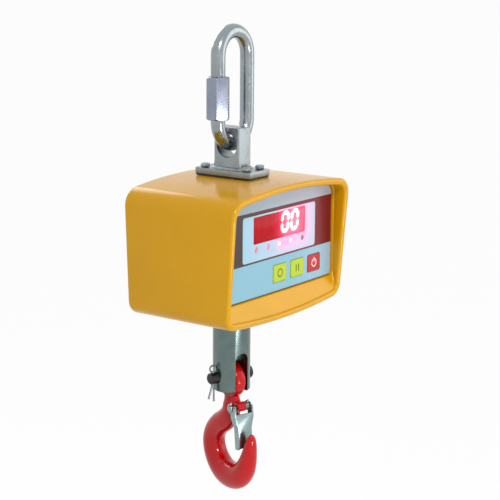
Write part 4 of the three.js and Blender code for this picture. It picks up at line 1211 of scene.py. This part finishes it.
def latch_spring(h, material):
    spring = grown(point_piece("spring", []), coil_tree(), {
        "Turns": 2.5, "Radius": 4.3 * MM, "Length": 2.5 * 1.45 * MM, "Wire": 0.58 * MM,
        "Material": material})
    start = Vector((5.7, h.latch_y, h.latch_z)) * MM + Vector((0, 0, MID))
    return placed(spring, matrix=Matrix.Rotation(TURN, 4, "Z") @ Matrix.Translation(start))


# Operators

class PieceOperator:
    """What the operators below share."""
    bl_options = {"REGISTER"}

    def sizes(self, context):
        held = context.scene
        return SimpleNamespace(
            link=in_mm(held.scale_link), lug=in_mm(held.scale_lug),
            housing=in_mm(held.scale_housing),
            panel=in_mm(held.scale_panel), hook=in_mm(held.scale_hook),
            colours=SimpleNamespace(**{key: tuple(getattr(held.scale_colours, key))
                                       for key in FinishColours.__annotations__}))


class BuildLink(PieceOperator, bpy.types.Operator):
    """Builds the quick link and its sleeve nut"""
    bl_idname = "crane_scale.link"
    bl_label = "Quick link"

    def execute(self, context):
        s = self.sizes(context)
        plated = metal_finish("bright_zinc", darker(s.colours.zinc, 0.66), 0.18, 0.1, 2, 0.12)
        drawn = metal_finish(
            "zinc_nut", tinted(s.colours.zinc, (0.60, 0.60, 0.72)), 0.28, 0.5, 2, 0.2)
        settled(quick_link(s.link, s.lug), plated, "link", "zinc_plate", "link_body", smooth=50)
        settled(sleeve_nut(s.link), drawn, "sleeve_nut", "zinc_plate", "link_sleeve_nut")
        return {"FINISHED"}


class BuildLug(PieceOperator, bpy.types.Operator):
    """Builds the load cell's lug, the flange plate with its weld, and the bolts"""
    bl_idname = "crane_scale.lug"
    bl_label = "Lug and flange"

    def execute(self, context):
        s = self.sizes(context)
        plated = metal_finish("plated_block", darker(s.colours.zinc, 0.60), 0.30, 0.35, 1, 0.35)
        bolted = metal_finish("bolt_zinc", darker(s.colours.zinc, 0.7), 0.26, 0.2, 2, 0.2)
        settled(lug(s.lug), plated, "housing", "zinc_plate", "load_cell")
        settled(flange(s.lug, FLANGE_FOOT), plated, "housing", "zinc_plate", "flange_plate")
        seat = (FLANGE_FOOT + s.lug.flange_thickness + GAP) * MM + MID
        places = [(x * MM, y * MM, seat) for x, y in bolt_places(s.lug)]
        bolt = hex_bolt(s.lug.bolt_head, height=4, radius=3, long=20)
        bolts = copied_to("flange_bolts", bolt, places, bolted)
        settled(bolts, bolted, "housing", "zinc_plate", *[f"flange_bolt_{i}" for i in range(1, 5)])
        return {"FINISHED"}


class BuildHousing(PieceOperator, bpy.types.Operator):
    """Builds the yellow housing and the rubber seal round the rod"""
    bl_idname = "crane_scale.housing"
    bl_label = "Housing"

    def execute(self, context):
        s = self.sizes(context)
        settled(housing_shell(s.housing, s.panel, s.lug),
                paint_finish("yellow_paint", s.colours.yellow),
                "housing", "yellow_paint", "housing_shell", smooth=45)
        rubber = plastic_finish("seal_rubber", painted(26, 26, 28), 0.62, 0.6)
        settled(rod_seal(s.housing), rubber, "housing", "black_rubber", "rod_seal")
        dress(rubber, "flange_gasket", "rear_gasket")
        return {"FINISHED"}


class BuildDisplay(PieceOperator, bpy.types.Operator):
    """Builds the printed panel, window, digits, lamps and keys"""
    bl_idname = "crane_scale.display"
    bl_label = "Display"

    def execute(self, context):
        s = self.sizes(context)
        p = s.panel
        # Where the lit digits are; the film and the filter get painted glow round this rectangle.
        lit = ((p.window_x + 1.5 * p.digit_pitch, p.window_z), (15.0, 10.5))
        settled(overlay(p), overlay_finish(s.colours, p, lit), "housing", "overlay_print",
                "panel_overlay")
        settled(window(p), window_finish(lit), "housing", "window_red", "display_window")
        digits(p, SimpleNamespace(off=led_finish("led_off", painted(22, 0, 4), 0.02),
                                  on=led_finish("led_on", painted(255, 190, 190), 7.0)))
        lamps = [(x * MM, PANEL_Y * MM, p.lamp_z * MM + MID) for x in lamp_places(p)]
        glow = lamp_finish(p)
        settled(copied_to("lamp_lenses", lamp_lens(p), lamps, glow), glow, "housing", "led_glow",
                *[f"indicator_{i}" for i in range(1, 6)])
        marks = (("ring", s.colours.green, "key_green"), ("bars", s.colours.green, "key_green"),
                 ("power", s.colours.red_key, "key_red"))
        for i, (x, (mark, shade, slot)) in enumerate(zip(key_places(p), marks), 1):
            look = key_finish(f"key_{mark}", shade, (x, p.key_z), mark)
            settled(membrane_key(f"key_cap_{i}", p, x), look, f"key_{i}", slot, f"key_{i}")
        return {"FINISHED"}


class BuildRear(PieceOperator, bpy.types.Operator):
    """Builds the rear cover, its screws, the charging socket and its cap"""
    bl_idname = "crane_scale.rear"
    bl_label = "Rear cover"

    def execute(self, context):
        s = self.sizes(context)
        cover = paint_finish("cover_paint", darker(s.colours.yellow, 0.97), 0.3)
        settled(rear_cover(s.housing), cover, "housing", "yellow_paint", "rear_cover")
        screw = metal_finish("screw_zinc", s.colours.zinc, 0.3, 0.1, 1, 0.2)
        lean = rear_matrix(s.housing)
        seat = (COVER_TOP + GAP) * MM
        places = [lean @ Vector((x * MM, seat, z * MM + MID)) for x, z in SCREW_PLACES]
        screws = copied_to("rear_screws", pan_screw(), places, screw)
        settled(screws, screw, "housing", "zinc_plate", *[f"rear_screw_{i}" for i in range(1, 5)])
        oxide = metal_finish("socket_black", painted(52, 52, 56), 0.4, 0.1, 1, 0.1)
        settled(charging_socket(s.housing), oxide, "housing", "black_oxide", "charging_socket")
        rubber = plastic_finish("cap_rubber", painted(32, 32, 34), 0.6)
        settled(dust_cap(s.housing), rubber, "socket_cap", "black_rubber", "socket_cap")
        return {"FINISHED"}


class DressInside(PieceOperator, bpy.types.Operator):
    """Gives the sealed parts in the housing their finishes"""
    bl_idname = "crane_scale.inside"
    bl_label = "Inner parts"

    def execute(self, context):
        s = self.sizes(context)
        ground = metal_finish("ground_steel", s.colours.steel, 0.3, 0.4, 2, 0.1)
        dress(ground, "gauge_sleeve", "backing_plate", "battery_tray", "battery_strap",
              "swivel_carrier", "thrust_race_lower", "thrust_ball_cage", "thrust_race_upper",
              "nut_pin")
        dress(metal_finish("inner_zinc", s.colours.zinc, 0.32, 0.3, 2, 0.2), "rod_nut")
        dress(plastic_finish("grey_moulding", painted(92, 96, 100), 0.5), "panel_plate",
              *[f"key_switch_{i}" for i in range(1, 4)])
        dress(plastic_finish("digit_module", painted(176, 40, 50), 0.5),
              *[f"digit_{i}" for i in range(1, 6)])
        dress(board_finish(), "display_board", "main_board")
        dress(plastic_finish("battery_case", painted(42, 45, 51), 0.55), "battery")
        return {"FINISHED"}


class BuildRod(PieceOperator, bpy.types.Operator):
    """Builds the slotted rod, the cross pin and its split pin"""
    bl_idname = "crane_scale.rod"
    bl_label = "Rod and pin"

    def execute(self, context):
        s = self.sizes(context)
        drawn = metal_finish(
            "turned_zinc", tinted(s.colours.zinc, (0.30, 0.37, 0.34)), 0.27, 0.55, 2, 0.4)
        settled(slotted_rod(s.hook), drawn, "rod", "zinc_plate", "hook_rod")
        oxide = metal_finish("pin_oxide", painted(66, 64, 66), 0.4, 0.3, 0, 0.15)
        settled(cross_pin(s.hook), oxide, "rod", "black_oxide", "clevis_pin")
        settled(split_pin(s.hook), metal_finish("wire_zinc", darker(s.colours.zinc, 0.5), 0.35),
                "rod", "zinc_plate", "split_pin", smooth=60)
        return {"FINISHED"}


class BuildHook(PieceOperator, bpy.types.Operator):
    """Builds the red forged hook"""
    bl_idname = "crane_scale.hook"
    bl_label = "Hook"

    def execute(self, context):
        s = self.sizes(context)

        def worn(f):
            """Paint rubbed off in the bowl, where a sling bears."""
            _, _, z = f.place()
            bowl = f.ramp(abs(z + 233.5), 6.0, 0.0)
            return f.ramp(f.noise(3.4, 5) + bowl * 0.10, 0.68, 0.74) * bowl * 0.55

        paint = paint_finish("red_paint", s.colours.red, 0.13, worn, 0.34)
        settled(forged_hook(s.hook), paint, "hook", "red_paint", "hook", smooth=40)
        return {"FINISHED"}


class BuildLatch(PieceOperator, bpy.types.Operator):
    """Builds the safety latch, its rivet and its spring"""
    bl_idname = "crane_scale.latch"
    bl_label = "Safety latch"

    def execute(self, context):
        s = self.sizes(context)
        sheet = metal_finish(
            "latch_zinc", tinted(s.colours.zinc, (0.58, 0.68, 0.67)), 0.28, 0.25, 2, 0.3)
        settled(safety_latch(s.hook), sheet, "latch", "zinc_plate", "latch")
        settled(latch_rivet(s.hook), sheet, "hook", "zinc_plate", "latch_rivet")
        wire = metal_finish("spring_steel", darker(s.colours.steel, 0.8), 0.3)
        settled(latch_spring(s.hook, wire), wire, "hook", "bare_steel", "latch_spring", smooth=60)
        return {"FINISHED"}


class BuildStage(bpy.types.Operator):
    """Sets the floor, the lights, the white surroundings and the camera"""
    bl_idname = "crane_scale.stage"
    bl_label = "Stage"

    def execute(self, context):
        floor = stage_floor()
        soft_lamp("key_light", (-1.3, -1.5, 1.5), 0.6, 30)
        soft_lamp("fill_light", (-0.3, -1.9, -0.5), 0.4, 9)
        soft_lamp("side_light", (1.4, -1.4, 0.5), 1.6, 9)
        soft_lamp("back_light", (0.6, 1.7, 1.0), 1.4, 14)
        surroundings(context.scene)
        context.scene.camera = standing_camera()
        context.scene.view_settings.view_transform = "Standard"
        return {"FINISHED"}


def background_rays(net):
    """1 for the rays that see the background: camera, glossy and transmission rays."""
    path = net.node("ShaderNodeLightPath")
    seen = [Value(net, path.outputs[key]) for key in
            ("Is Camera Ray", "Is Glossy Ray", "Is Transmission Ray")]
    return seen[0].larger(seen[1]).larger(seen[2])


def stage_floor():
    """A plain pale floor far enough below the hook to take a soft shadow."""
    level_z = (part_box("hook")[0].z - 0.6)
    mesh = bpy.data.meshes.new("floor")
    reach = 30.0
    corners = [(-reach, -reach), (reach, -reach), (reach, reach), (-reach, reach)]
    mesh.from_pydata([(x, y, level_z) for x, y in corners], [], [(0, 1, 2, 3)])
    floor = bpy.data.objects.new("floor", mesh)
    bpy.context.scene.collection.objects.link(floor)
    f = Finish("pale_floor")
    grain = f.noise(8, 2)
    matt = f.node("ShaderNodeBsdfDiffuse", {}, {
        0: f.blend(grain * 0.3, painted(244, 244, 244), painted(240, 240, 240))})
    bright = f.node("ShaderNodeEmission", {}, {0: (1, 1, 1, 1), 1: 1.0})
    share = f.node("ShaderNodeMixShader", {}, {
        0: background_rays(f) * 0.95, 1: matt.outputs[0], 2: bright.outputs[0]})
    f.node("ShaderNodeOutputMaterial", {}, {0: share.outputs[0]})
    mesh.materials.append(f.material)
    return floor


def soft_lamp(name, place, size, power):
    lamp = bpy.data.lights.new(name, "AREA")
    lamp.shape, lamp.size, lamp.energy = "DISK", size, power
    held = bpy.data.objects.new(name, lamp)
    bpy.context.scene.collection.objects.link(held)
    middle = Vector((0, 0, MID))
    held.location = middle + Vector(place)
    held.rotation_euler = (middle - held.location).to_track_quat("-Z", "Y").to_euler()


def surroundings(scene):
    """Plain light all round, and white where the background shows."""
    world = bpy.data.worlds.new("surroundings")
    scene.world = world
    world.use_nodes = True
    net = Net(world.node_tree)
    strength = background_rays(net) * 0.45 + 0.55
    shade = net.node("ShaderNodeBackground", {}, {0: (1, 1, 1, 1), 1: strength})
    net.node("ShaderNodeOutputWorld", {}, {0: shade.outputs[0]})


def standing_camera():
    """The camera: a long lens, a little above the housing, to the left of its front."""
    azimuth, elevation, roll = (math.radians(angle) for angle in (-54, 12, 0.4))
    reach = math.cos(elevation)
    ahead = Vector((-math.sin(azimuth) * reach, math.cos(azimuth) * reach, -math.sin(elevation)))
    level_right = Vector((math.cos(azimuth), math.sin(azimuth), 0))
    level_up = level_right.cross(ahead)
    right = level_right * math.cos(roll) + level_up * math.sin(roll)
    up = level_up * math.cos(roll) - level_right * math.sin(roll)
    lens = bpy.data.cameras.new("camera")
    lens.lens, lens.sensor_width, lens.clip_end = 104.4, 36.0, 100.0
    camera = bpy.data.objects.new("camera", lens)
    bpy.context.scene.collection.objects.link(camera)
    camera.location = Vector((-1.19172, -0.88916, 0.31615 + MID))
    camera.rotation_euler = Matrix((right, up, -ahead)).transposed().to_euler()
    return camera


OPERATORS = (BuildLink, BuildLug, BuildHousing, BuildDisplay, BuildRear, DressInside, BuildRod,
             BuildHook, BuildLatch, BuildStage)
GROUPS = {"scale_link": LinkSizes, "scale_lug": LugSizes, "scale_housing": HousingSizes,
          "scale_panel": PanelSizes, "scale_hook": HookSizes, "scale_colours": FinishColours}


class ScalePanel(bpy.types.Panel):
    """Lists the pieces and their sizes"""
    bl_idname = "VIEW3D_PT_crane_scale"
    bl_label = "Crane scale"
    bl_space_type = "VIEW_3D"
    bl_region_type = "UI"
    bl_category = "Crane scale"

    def draw(self, context):
        for made in OPERATORS:
            self.layout.operator(made.bl_idname)
        for attribute, group in GROUPS.items():
            box = self.layout.box()
            box.label(text=group.__doc__)
            for key in group.__annotations__:
                box.prop(getattr(context.scene, attribute), key)


def register():
    for made in (*GROUPS.values(), *OPERATORS, ScalePanel):
        bpy.utils.register_class(made)
    for attribute, group in GROUPS.items():
        setattr(bpy.types.Scene, attribute, bpy.props.PointerProperty(type=group))


def unregister():
    for attribute in GROUPS:
        delattr(bpy.types.Scene, attribute)
    for made in reversed((*GROUPS.values(), *OPERATORS, ScalePanel)):
        bpy.utils.unregister_class(made)


def main():
    register()
    for made in OPERATORS:
        family, action = made.bl_idname.split(".")
        getattr(getattr(bpy.ops, family), action)()
    bpy.context.view_layer.update()


if __name__ == "__main__":
    main()
